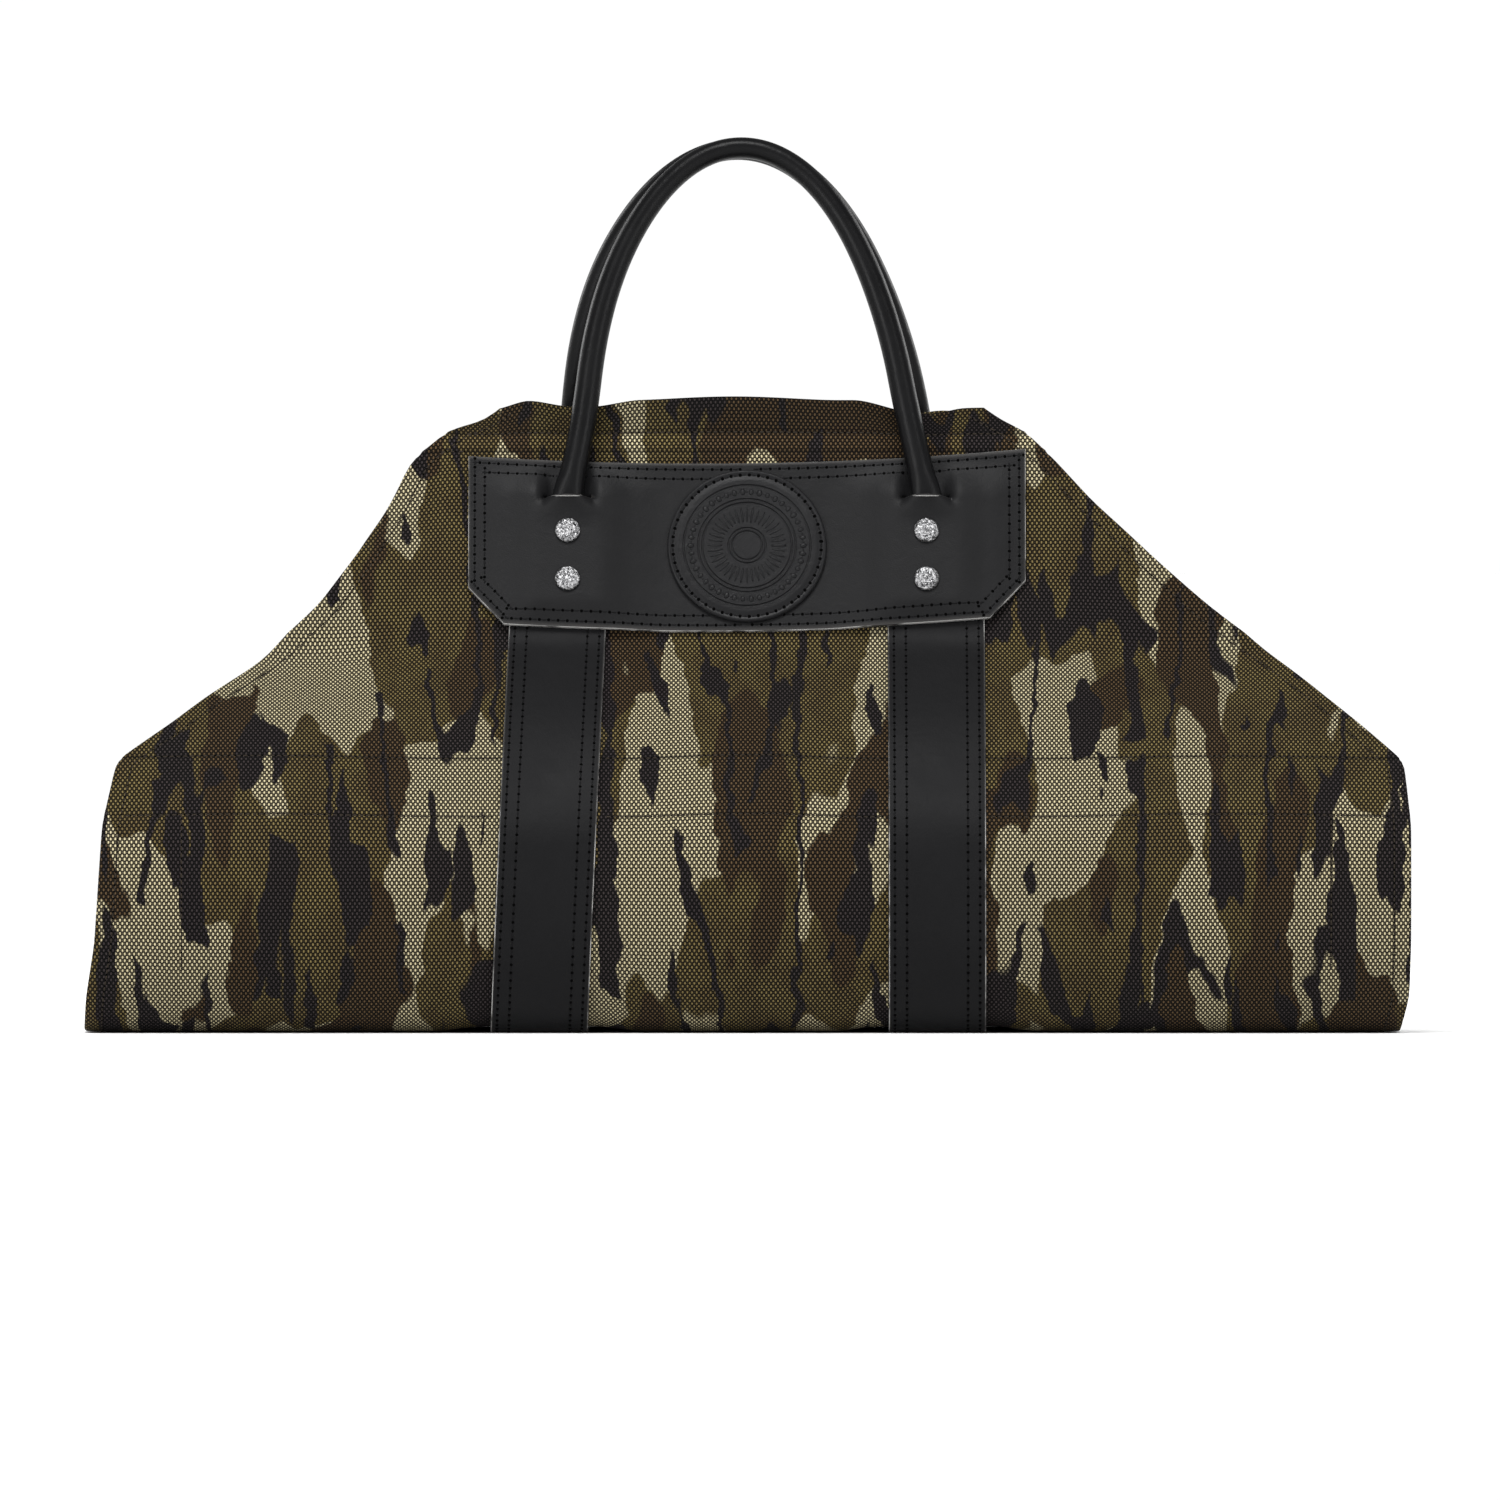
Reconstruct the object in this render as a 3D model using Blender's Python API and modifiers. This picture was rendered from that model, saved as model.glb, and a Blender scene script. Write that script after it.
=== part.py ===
"""Canvas log carrier, standing open in the form that it has when it is loaded.

Metres, +Z up. The front looks towards -Y. The origin is on the floor, under the middle.

The canvas is one long sheet, described by two numbers: across, which is X, and run, the length
along the sheet from the middle of its bottom, negative up the front wall and positive up the back.
Every leather piece lies on the sheet at a named distance out from its outer face.
"""
import math

import bmesh
import bpy
import numpy as np
from mathutils import Matrix, Vector

FRONT = -1
BACK = 1


def mix(first, second, share):
    """Value that lies the given share of the way from first to second."""
    return first + (second - first) * share


# Clearance between pieces that touch
GAP = 0.0003

# Canvas sheet in its loaded form. The back wall's cut edges lie BACK_INSET inside the front's, and
# beside the straps the sheet sags to FLOOR_CLEARANCE.
WALL_HEIGHT = 0.3165
HALF_WIDTH = 0.3315
HALF_DEPTH = 0.140
CANVAS_THICKNESS = 0.0016
MOUTH_HALF_GAP = 0.0205
WALL_LEAN = math.radians(18.0)
BACK_INSET = 0.004
FLOOR_CLEARANCE = 0.0004
SAG_REACH = 0.025
SAG_HEIGHT = 0.050
HEM_DEPTH = 0.024

# Straps
STRAP_THICKNESS = 0.0025
STRAP_WIDTH = 0.0485
STRAP_TOP_BELOW_SLOT = 0.009
STRAP_MARGIN = 0.003

# Handles and their tongues
HANDLE_DIAMETER = 0.0125
HANDLE_RISE = 0.1825
HANDLE_TOP_GAP = 0.0012
HANDLE_SPLAY_END = 0.3
TONGUE_WIDTH = 0.025
TONGUE_THICKNESS = 0.0025
TONGUE_LENGTH = 0.0525

# Slots of the panels, which set the place of the handles, straps, rivets and patch
SLOT_BELOW_RIM = 0.051
SLOT_HALF_SPACING = 0.090
SLOT_EASE = 0.0049
SLOT_LIP_DROP = 0.0022

# Panels, from their slots
PANEL_THICKNESS = 0.0025
PANEL_ABOVE_SLOT = 0.0235
PANEL_BELOW_SLOT = 0.0605
PANEL_PAST_STRAP = 0.0207
PANEL_CHAMFER = 0.018
PANEL_CHAMFER_HEIGHT = 0.019
PANEL_SAG = 0.0058
PANEL_TILT = 0.0038
RAMP = 0.012
BULGE_EASE = 1.04

# Round patch, from the slots' level
PATCH_RADIUS = 0.040
PATCH_THICKNESS = 0.0022
PATCH_BELOW_SLOT = 0.024
PATCH_RELIEF = 0.0004
PATCH_EDGE_SHARE = 0.6

# Rivets. Drops are shares of the tongue's length, down from the slot.
RIVET_HEAD_RADIUS = 0.0063
RIVET_HEAD_HEIGHT = 0.0024
RIVET_SHANK_RADIUS = 0.0020
RIVET_BURR_RADIUS = 0.0050
RIVET_BURR_THICKNESS = 0.0014
RIVET_DROPS = (0.350, 0.834)

# Number of flat facets. The canvas has them from edge to strap, over the strap, and to the next.
CANVAS_SEGMENTS = (5, 2, 4, 2, 5)
STRAP_SEGMENTS = 2
HANDLE_SIDES = 10
ARCH_SEGMENTS = 26
RIVET_SIDES = 10
PATCH_SIDES = 28
HOLE_SIDES = 8
GUIDE_SHARE = 0.86
CREASE = math.radians(40.0)
TRACE_STEP = 0.0004
TRACE_SAMPLES = 48

# Distances out from the canvas, layer by layer
SEAT = STRAP_THICKNESS + GAP
STRAP_OUT = GAP
TONGUE_OUT = max(STRAP_THICKNESS, PANEL_THICKNESS) + 2.0 * GAP
PANEL_OVER_CANVAS = GAP
PANEL_OVER_STRAP = STRAP_OUT + SEAT
PANEL_OVER_TONGUE = TONGUE_OUT + TONGUE_THICKNESS + GAP
RIVET_HEAD_OUT = PANEL_OVER_TONGUE + PANEL_THICKNESS + GAP
PATCH_OUT = PANEL_OVER_CANVAS + PANEL_THICKNESS + GAP

# Heights on the walls
SLOT_HEIGHT = WALL_HEIGHT - SLOT_BELOW_RIM
PANEL_TOP_HEIGHT = SLOT_HEIGHT + PANEL_ABOVE_SLOT
PANEL_BOTTOM_HEIGHT = SLOT_HEIGHT - PANEL_BELOW_SLOT
PATCH_HEIGHT = SLOT_HEIGHT - PATCH_BELOW_SLOT
HANDLE_TOP_HEIGHT = SLOT_HEIGHT + HANDLE_RISE
LEAN_START_HEIGHT = PANEL_BOTTOM_HEIGHT - PANEL_SAG + GAP

# Section of the sheet, from the floor up one wall to the straight part that leans in. Height is a
# share of the rise to that part, depth is a share of HALF_DEPTH, heading is the way the cloth runs
# (0 outwards, 90 up, more leans in), and cells counts the facets from the row before.
SECTION = (
    {"name": "floor middle", "height": 0.000, "depth": 0.000, "heading": 0.0, "cells": 0},
    {"name": "floor edge", "height": 0.000, "depth": 0.700, "heading": 0.0, "cells": 2},
    {"name": "side", "height": 0.254, "depth": 0.986, "heading": 82.0, "cells": 5},
    {"name": "belly", "height": 0.446, "depth": 1.000, "heading": 96.0, "cells": 2},
    {"name": "shoulder", "height": 0.664, "depth": 0.857, "heading": 125.0, "cells": 3},
    {"name": "fall", "height": 0.798, "depth": 0.696, "heading": 136.0, "cells": 2},
    {"name": "waist", "height": 0.935, "depth": 0.489, "heading": 138.0, "cells": 2},
)
LEAN_START_SEGMENTS = 2
LEAN_SEGMENTS = 8

# Side edges of the sheet. Height is a share of the wall's height, left and right are shares of
# HALF_WIDTH. Below the corner the edge stands, above it the corner of the sheet is cut off.
EDGE = (
    {"name": "floor", "height": 0.00, "left": 1.000, "right": 0.984},
    {"name": "heel", "height": 0.06, "left": 0.996, "right": 0.998},
    {"name": "low", "height": 0.14, "left": 0.983, "right": 1.000},
    {"name": "middle", "height": 0.33, "left": 0.971, "right": 1.000},
    {"name": "corner", "height": 0.43, "left": 0.950, "right": 0.990},
    {"name": "cut 1", "height": 0.49, "left": 0.866, "right": 0.923},
    {"name": "cut 2", "height": 0.56, "left": 0.781, "right": 0.841},
    {"name": "cut 3", "height": 0.62, "left": 0.712, "right": 0.771},
    {"name": "cut 4", "height": 0.68, "left": 0.647, "right": 0.697},
    {"name": "cut 5", "height": 0.75, "left": 0.594, "right": 0.618},
    {"name": "cut 6", "height": 0.84, "left": 0.545, "right": 0.523},
    {"name": "cut 7", "height": 0.905, "left": 0.512, "right": 0.466},
    {"name": "cut 8", "height": 0.95, "left": 0.454, "right": 0.422},
    {"name": "rim", "height": 1.00, "left": 0.376, "right": 0.359},
)

# Soft swells and hollows of the canvas. Across and reach_across are shares of HALF_WIDTH, height
# and reach_up shares of WALL_HEIGHT, push a share of HALF_DEPTH, outwards where positive. Wall 0
# is both walls. None reaches a strap or a panel.
FOLDS = (
    {"name": "middle swell", "wall": 0, "across": 0.00, "height": 0.34,
     "reach_across": 0.19, "reach_up": 0.36, "push": 0.030},
    {"name": "left swell", "wall": 0, "across": -0.74, "height": 0.30,
     "reach_across": 0.32, "reach_up": 0.38, "push": 0.028},
    {"name": "right swell", "wall": 0, "across": 0.73, "height": 0.27,
     "reach_across": 0.32, "reach_up": 0.36, "push": 0.028},
    {"name": "left shoulder roll", "wall": FRONT, "across": -0.555, "height": 0.86,
     "reach_across": 0.115, "reach_up": 0.12, "push": -0.090},
    {"name": "left cut hollow", "wall": FRONT, "across": -0.66, "height": 0.60,
     "reach_across": 0.20, "reach_up": 0.17, "push": -0.050},
    {"name": "right cut hollow", "wall": FRONT, "across": 0.66, "height": 0.64,
     "reach_across": 0.21, "reach_up": 0.20, "push": -0.040},
    {"name": "back left hollow", "wall": BACK, "across": -0.64, "height": 0.66,
     "reach_across": 0.19, "reach_up": 0.20, "push": -0.045},
    {"name": "back right hollow", "wall": BACK, "across": 0.68, "height": 0.60,
     "reach_across": 0.22, "reach_up": 0.17, "push": -0.045},
)

# Waves of the mouth edge. Across and reach are shares of HALF_WIDTH, push and lift shares of
# HEM_DEPTH, out from the wall and up.
MOUTH_WAVES = (
    {"name": "front left dip", "wall": FRONT, "across": -0.25, "reach": 0.09, "push": 0.00, "lift": -0.15},
    {"name": "front right dip", "wall": FRONT, "across": 0.27, "reach": 0.11, "push": 0.00, "lift": -0.28},
    {"name": "front middle swell", "wall": FRONT, "across": -0.02, "reach": 0.16, "push": 0.18, "lift": 0.02},
    {"name": "front left curl", "wall": FRONT, "across": -0.40, "reach": 0.09, "push": -0.20, "lift": 0.00},
    {"name": "back left dip", "wall": BACK, "across": -0.26, "reach": 0.10, "push": 0.00, "lift": -0.20},
    {"name": "back right dip", "wall": BACK, "across": 0.25, "reach": 0.10, "push": 0.00, "lift": -0.22},
    {"name": "back middle swell", "wall": BACK, "across": 0.04, "reach": 0.15, "push": 0.15, "lift": 0.00},
    {"name": "back right curl", "wall": BACK, "across": 0.37, "reach": 0.08, "push": -0.15, "lift": 0.00},
)

# Straps: side of the carrier, and how far the centre line lies past the slots, on the panel and on
# the floor.
STRAP_PAST_SLOT = 0.0048
STRAPS = (
    {"name": "strap_left", "side": -1, "floor": 0.0140},
    {"name": "strap_right", "side": 1, "floor": 0.0052},
)

# Handles: bow is how much narrower the arch is than its slots on each side, shift moves the top of
# the arch across, and drop lowers it.
HANDLES = (
    {"name": "front_handle", "wall": FRONT, "bow": 0.0075, "shift": -0.0010, "drop": 0.0},
    {"name": "back_handle", "wall": BACK, "bow": 0.0030, "shift": -0.0035, "drop": 0.0006},
)

# How a handle flattens below its slot. Below is a share of TONGUE_LENGTH, flat goes from 0, the
# round handle, to 1, the tongue, for its width and its thickness, and square is the section's
# exponent, 2 for an ellipse.
ROOT = (
    {"name": "tip", "below": 1.00, "wide": 0.80, "thin": 1.00, "square": 6.0},
    {"name": "tip shoulder", "below": 0.94, "wide": 1.00, "thin": 1.00, "square": 6.0},
    {"name": "flat end", "below": 0.22, "wide": 1.00, "thin": 1.00, "square": 6.0},
    {"name": "flare", "below": 0.11, "wide": 0.62, "thin": 0.70, "square": 3.0},
    {"name": "slot", "below": 0.00, "wide": 0.22, "thin": 0.34, "square": 2.3},
    {"name": "neck", "below": -0.20, "wide": 0.06, "thin": 0.12, "square": 2.0},
)

FLAT_END = ROOT[2]["below"]
BULGE_LENGTH = FLAT_END * TONGUE_LENGTH
SLOT_HALF_WIDTH = mix(HANDLE_DIAMETER, TONGUE_WIDTH, ROOT[4]["wide"]) / 2.0 + SLOT_EASE
PANEL_HALF_WIDTH = SLOT_HALF_SPACING + STRAP_PAST_SLOT + STRAP_WIDTH / 2.0 + PANEL_PAST_STRAP

# Shares of the bulge's length and of the slot's half width that facet lines of the panel follow
BULGE_LINES = (0.66, 0.33)
SLOT_LINES = (-1.0, -0.78, -0.40, 0.0, 0.40, 0.78, 1.0)

# Turned relief of the patch. Radius is a share of PATCH_RADIUS, rise a share of PATCH_RELIEF.
PATCH_RINGS = (
    {"name": "middle", "radius": 0.00, "rise": 1.0},
    {"name": "medallion", "radius": 0.55, "rise": 1.0},
    {"name": "groove", "radius": 0.60, "rise": 0.0},
    {"name": "band", "radius": 0.66, "rise": 1.0},
    {"name": "rim", "radius": 0.96, "rise": 1.0},
)

# Dome of a rivet's head. Radius is a share of RIVET_HEAD_RADIUS, rise of RIVET_HEAD_HEIGHT.
RIVET_DOME = (
    {"name": "crown", "radius": 0.00, "rise": 1.00},
    {"name": "shoulder", "radius": 0.60, "rise": 0.86},
    {"name": "edge", "radius": 1.00, "rise": 0.30},
    {"name": "seat", "radius": 1.00, "rise": 0.00},
)

FINISHES = {
    "canvas": {"colour": (0.145, 0.115, 0.060), "roughness": 0.90, "metallic": 0.0},
    "leather": {"colour": (0.022, 0.022, 0.023), "roughness": 0.52, "metallic": 0.0},
    "strap": {"colour": (0.018, 0.018, 0.019), "roughness": 0.56, "metallic": 0.0},
    "handle": {"colour": (0.020, 0.020, 0.021), "roughness": 0.45, "metallic": 0.0},
    "patch": {"colour": (0.024, 0.024, 0.025), "roughness": 0.50, "metallic": 0.0},
    "rivet": {"colour": (0.62, 0.62, 0.63), "roughness": 0.35, "metallic": 1.0},
}


def smooth(value):
    """Ease from 0 to 1 as value goes from 0 to 1, and stay there outside."""
    value = min(1.0, max(0.0, value))
    return value * value * (3.0 - 2.0 * value)


def swell(distance):
    """Round hill of height 1 at distance 0, that is flat ground from distance 1 on."""
    if abs(distance) >= 1.0:
        return 0.0
    return (1.0 - distance * distance) ** 2


def leaning_depth(height):
    """Depth of the straight upper wall at a height above the floor."""
    return MOUTH_HALF_GAP + math.tan(WALL_LEAN) * (WALL_HEIGHT - height)


def section_knots():
    """Depth, height and direction of each row of the section, with both ends of its leaning part."""
    spots = [(row["depth"] * HALF_DEPTH, mix(SEAT, LEAN_START_HEIGHT, row["height"]),
              math.radians(row["heading"])) for row in SECTION]
    spots += [(leaning_depth(height), height, math.pi / 2.0 + WALL_LEAN)
              for height in (LEAN_START_HEIGHT, WALL_HEIGHT)]
    return [(np.array((depth, height)), np.array((math.cos(heading), math.sin(heading))))
            for depth, height, heading in spots]


def trace_section():
    """Finely sampled section: run, depth and height, and the run of each of its rows."""
    knots = section_knots()
    points = [knots[0][0]]
    marks = [0]
    for (start, leave), (end, arrive) in zip(knots, knots[1:]):
        pull = np.linalg.norm(end - start)
        for step in range(1, TRACE_SAMPLES + 1):
            t = step / TRACE_SAMPLES
            points.append((2 * t**3 - 3 * t**2 + 1) * start + (t**3 - 2 * t**2 + t) * pull * leave
                          + (3 * t**2 - 2 * t**3) * end + (t**3 - t**2) * pull * arrive)
        marks.append(len(points) - 1)
    points = np.array(points)
    runs = np.concatenate(([0.0], np.cumsum(np.linalg.norm(np.diff(points, axis=0), axis=1))))
    return runs, points[:, 0], points[:, 1], runs[marks]


RUNS, DEPTHS, HEIGHTS, ROW_RUNS = trace_section()
RIM_RUN = float(RUNS[-1])
WALL_START = int(np.argmax(HEIGHTS > SEAT + GAP))


def run_at(height):
    """Run, up one wall, at which the bare section reaches a height."""
    return float(np.interp(height, HEIGHTS[WALL_START:], RUNS[WALL_START:]))


SLOT_RUN = run_at(SLOT_HEIGHT)
PANEL_TOP_RUN = run_at(PANEL_TOP_HEIGHT)
PANEL_BOTTOM_RUN = run_at(PANEL_BOTTOM_HEIGHT)
STRAP_TOP_RUN = SLOT_RUN - STRAP_TOP_BELOW_SLOT
HEM_RUN = RIM_RUN - HEM_DEPTH


def section_at(run):
    """Bare section at a run: its y, z, and the outward direction there."""
    wall = FRONT if run < 0.0 else BACK
    length = abs(run)
    y = float(np.interp(length, RUNS, DEPTHS))
    z = float(np.interp(length, RUNS, HEIGHTS))
    ahead = min(RIM_RUN, length + TRACE_STEP)
    behind = max(0.0, length - TRACE_STEP)
    rise = float(np.interp(ahead, RUNS, HEIGHTS) - np.interp(behind, RUNS, HEIGHTS))
    reach = float(np.interp(ahead, RUNS, DEPTHS) - np.interp(behind, RUNS, DEPTHS))
    outward = Vector((0.0, wall * rise, -reach)).normalized()
    return wall * y, z, outward


def strap_centre(strap, height):
    """Centre line of a strap at a height on the wall."""
    share = min(1.0, height / PANEL_BOTTOM_HEIGHT)
    return strap["side"] * (SLOT_HALF_SPACING + mix(strap["floor"], STRAP_PAST_SLOT, share))


def beside_straps(across, height):
    """0 on a strap and its margin, rising to 1 at SAG_REACH away from every strap."""
    clear = min(abs(across - strap_centre(strap, height)) for strap in STRAPS)
    return smooth((clear - STRAP_WIDTH / 2.0 - STRAP_MARGIN) / SAG_REACH)


def canvas_point(across, run):
    """Point on the outer face of the canvas, and the outward direction of its bare section."""
    y, z, outward = section_at(run)
    wall = FRONT if run < 0.0 else BACK
    point = Vector((across, y, z))
    sag = (SEAT - FLOOR_CLEARANCE) * beside_straps(across, z)
    point.z -= sag * (1.0 - smooth((z - SEAT) / SAG_HEIGHT))
    for fold in FOLDS:
        if fold["wall"] in (0, wall):
            aside = (across / HALF_WIDTH - fold["across"]) / fold["reach_across"]
            above = (abs(run) - run_at(fold["height"] * WALL_HEIGHT)) / (fold["reach_up"] * WALL_HEIGHT)
            point += outward * fold["push"] * HALF_DEPTH * swell(aside) * swell(above)
    hem = smooth((abs(run) - HEM_RUN) / HEM_DEPTH)
    for wave in MOUTH_WAVES:
        if wave["wall"] == wall and hem > 0.0:
            share = hem * HEM_DEPTH * swell((across / HALF_WIDTH - wave["across"]) / wave["reach"])
            point += outward * wave["push"] * share
            point.z += wave["lift"] * share
    return point, outward


def layer_point(across, run, out):
    """Point at a distance out from the bare section, where leather lies on the canvas."""
    y, z, outward = section_at(run)
    return Vector((across, y, z)) + outward * out


def edge_at(height, side, wall):
    """Signed X of the sheet's left or right edge at a height."""
    heights = [row["height"] for row in EDGE]
    shares = [row[side] for row in EDGE]
    inset = BACK_INSET * smooth(height / SAG_HEIGHT) if wall == BACK else 0.0
    reach = HALF_WIDTH * float(np.interp(height / WALL_HEIGHT, heights, shares)) - inset
    return -reach if side == "left" else reach


def sheet_runs():
    """Runs of the sheet's facet lines, from the back rim over the bottom to the front rim."""
    half = [0.0]
    counts = [row["cells"] for row in SECTION[1:]] + [LEAN_START_SEGMENTS, LEAN_SEGMENTS]
    for start, end, cells in zip(ROW_RUNS, ROW_RUNS[1:], counts):
        half += [mix(float(start), float(end), cell / cells) for cell in range(1, cells + 1)]
    return half[:0:-1] + [-run for run in half]


def make_finish(name):
    """Plain material with the colour, roughness and metallic value of one finish."""
    values = FINISHES[name]
    material = bpy.data.materials.new(name)
    material.use_nodes = True
    shader = material.node_tree.nodes["Principled BSDF"]
    shader.inputs["Base Color"].default_value = (*values["colour"], 1.0)
    shader.inputs["Roughness"].default_value = values["roughness"]
    shader.inputs["Metallic"].default_value = values["metallic"]
    material.diffuse_color = (*values["colour"], 1.0)
    return material


def add_object(name, mesh, collection, finish=None, parent=None):
    """Object of a mesh in a collection, with its material and its parent."""
    part = bpy.data.objects.new(name, mesh)
    collection.objects.link(part)
    part.parent = parent
    if finish is not None:
        mesh.materials.append(finish)
    return part


def grid_mesh(name, columns, rows, place):
    """Open sheet of columns by rows cells, whose corners lie where place(column, row) says."""
    sheet = bmesh.new()
    bmesh.ops.create_grid(sheet, x_segments=columns, y_segments=rows, size=1.0)
    for corner in sheet.verts:
        column = round((corner.co.x + 1.0) / 2.0 * columns)
        row = round((corner.co.y + 1.0) / 2.0 * rows)
        corner.co = place(column, row)
    mesh = bpy.data.meshes.new(name)
    sheet.to_mesh(mesh)
    sheet.free()
    return mesh


def thicken(part, thickness, side):
    """Give an open sheet its wall, outwards for side 1 and inwards for side -1."""
    wall = part.modifiers.new("wall", "SOLIDIFY")
    wall.thickness = thickness
    wall.offset = side
    wall.use_even_offset = True


def drill(part, cutters):
    """Cut the rivet holes through a part."""
    holes = part.modifiers.new("rivet holes", "BOOLEAN")
    holes.operation = "DIFFERENCE"
    holes.operand_type = "COLLECTION"
    holes.collection = cutters
    holes.solver = "EXACT"


def sheet_columns(height, wall):
    """X of the canvas facet columns at a height, with a column on each strap's margin."""
    left = edge_at(height, "left", wall)
    right = edge_at(height, "right", wall)
    reach = STRAP_WIDTH / 2.0 + STRAP_MARGIN
    left_centre = strap_centre(STRAPS[0], height)
    right_centre = strap_centre(STRAPS[1], height)
    guides = (left, max(left_centre - reach, left * GUIDE_SHARE), left_centre + reach,
              right_centre - reach, min(right_centre + reach, right * GUIDE_SHARE), right)
    columns = [left]
    for start, end, cells in zip(guides, guides[1:], CANVAS_SEGMENTS):
        columns += [mix(start, end, cell / cells) for cell in range(1, cells + 1)]
    return columns


def build_canvas(collection, finish, parent):
    """The sheet: flat bottom, rounded lower corners and two walls that lean in to the mouth."""
    runs = sheet_runs()
    lines = []
    for run in runs:
        height = section_at(run)[1]
        wall = FRONT if run < 0.0 else BACK
        lines.append([canvas_point(across, run)[0] for across in sheet_columns(height, wall)])
    mesh = grid_mesh("canvas_sling", len(lines[0]) - 1, len(lines) - 1,
                     lambda column, row: lines[row][column])
    canvas = add_object("canvas_sling", mesh, collection, finish, parent)
    thicken(canvas, CANVAS_THICKNESS, -1)
    return canvas


def build_strap(strap, collection, finish, parent):
    """Strap that follows the sheet's section from the front panel round to the back panel."""
    runs = [STRAP_TOP_RUN] + [run for run in sheet_runs() if abs(run) < STRAP_TOP_RUN] + [-STRAP_TOP_RUN]

    def place(column, row):
        run = runs[row]
        centre = strap_centre(strap, section_at(run)[1])
        across = centre + STRAP_WIDTH * (column / STRAP_SEGMENTS - 0.5)
        return layer_point(across, run, STRAP_OUT)

    mesh = grid_mesh(strap["name"], STRAP_SEGMENTS, len(runs) - 1, place)
    part = add_object(strap["name"], mesh, collection, finish, parent)
    thicken(part, STRAP_THICKNESS, 1)
    return part


def root_at(below):
    """Width, thickness and squareness of a handle at a distance below its slot."""
    shares = [row["below"] for row in reversed(ROOT)]
    at = below / TONGUE_LENGTH
    wide = float(np.interp(at, shares, [row["wide"] for row in reversed(ROOT)]))
    thin = float(np.interp(at, shares, [row["thin"] for row in reversed(ROOT)]))
    square = float(np.interp(at, shares, [row["square"] for row in reversed(ROOT)]))
    return mix(HANDLE_DIAMETER, TONGUE_WIDTH, wide), mix(HANDLE_DIAMETER, TONGUE_THICKNESS, thin), square


def panel_rise(aside, below):
    """Distance out from the canvas of a panel's inner face, near one slot.

    Aside is the distance from the slot's middle, positive away from the carrier's middle, and
    below is the distance down from the slot. Above the slot the panel lies on the canvas.
    """
    if below < 0.0:
        return PANEL_OVER_CANVAS
    past_strap = abs(aside - STRAP_PAST_SLOT) - STRAP_WIDTH / 2.0 - STRAP_MARGIN / 2.0
    past_tongue = abs(aside) - TONGUE_WIDTH / 2.0 - STRAP_MARGIN / 2.0
    past_tip = below - TONGUE_LENGTH - STRAP_MARGIN / 2.0
    enter = smooth(below / (STRAP_TOP_BELOW_SLOT - STRAP_MARGIN / 2.0))
    over_strap = (PANEL_OVER_STRAP - PANEL_OVER_CANVAS) * (1.0 - smooth(past_strap / RAMP))
    over_tongue = (PANEL_OVER_TONGUE - PANEL_OVER_STRAP) * (1.0 - smooth(past_tongue / (RAMP / 2.0)))
    over_tongue *= 1.0 - smooth(past_tip / (RAMP / 2.0))
    layered = enter * (over_strap + over_tongue)
    if below > BULGE_LENGTH:
        return PANEL_OVER_CANVAS + layered
    thickness, square = root_at(below)[1:]
    half = mix(SLOT_HALF_WIDTH, TONGUE_WIDTH / 2.0 + STRAP_MARGIN, below / BULGE_LENGTH)
    dome = max(0.0, 1.0 - abs(aside / half) ** square) ** (1.0 / square)
    bulge = BULGE_EASE * (TONGUE_OUT + thickness + GAP - PANEL_OVER_CANVAS) * dome
    return PANEL_OVER_CANVAS + max(layered, bulge)


def panel_columns():
    """X of a panel's facet columns: the slots, the straps' sides, the cut corners, the ends."""
    strap_inside = STRAP_PAST_SLOT - STRAP_WIDTH / 2.0 - STRAP_MARGIN / 2.0
    near_slot = [share * SLOT_HALF_WIDTH for share in SLOT_LINES]
    beside = TONGUE_WIDTH / 2.0 + STRAP_MARGIN + RAMP / 4.0
    lines = [strap_inside - RAMP, strap_inside, -beside, beside] + near_slot
    half = [SLOT_HALF_SPACING + aside for aside in lines]
    half += [PANEL_HALF_WIDTH - PANEL_CHAMFER, PANEL_HALF_WIDTH - PANEL_CHAMFER / 3.0, PANEL_HALF_WIDTH]
    half = sorted(half)
    return [-across for across in reversed(half)] + [0.0] + half


def panel_edge_shift(across):
    """How far the panel's top and bottom edges hang down or rise at an X."""
    share = across / PANEL_HALF_WIDTH
    return PANEL_TILT / 2.0 * share - PANEL_SAG * (1.0 - share * share)


def panel_bottom_below(across):
    """Distance of the panel's bottom edge below the slots at an X, with its cut corners."""
    cut = max(0.0, abs(across) - (PANEL_HALF_WIDTH - PANEL_CHAMFER)) / PANEL_CHAMFER
    return SLOT_RUN - PANEL_BOTTOM_RUN - panel_edge_shift(across) - cut * PANEL_CHAMFER_HEIGHT


def panel_rows(across):
    """Distances below the slots of a panel's facet rows at an X, from its bottom to its top."""
    tip = TONGUE_LENGTH + STRAP_MARGIN / 2.0
    rows = [tip + RAMP / 2.0, tip, (tip + BULGE_LENGTH) / 2.0, BULGE_LENGTH + GAP]
    rows += [share * BULGE_LENGTH for share in BULGE_LINES]
    bottom = panel_bottom_below(across)
    if abs(across) > PANEL_HALF_WIDTH - PANEL_CHAMFER + GAP:
        whole = panel_bottom_below(PANEL_HALF_WIDTH - PANEL_CHAMFER)
        rows = [row * bottom / whole for row in rows]
    top = SLOT_RUN - PANEL_TOP_RUN - panel_edge_shift(across)
    return [bottom] + rows + [0.0, top]


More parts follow.
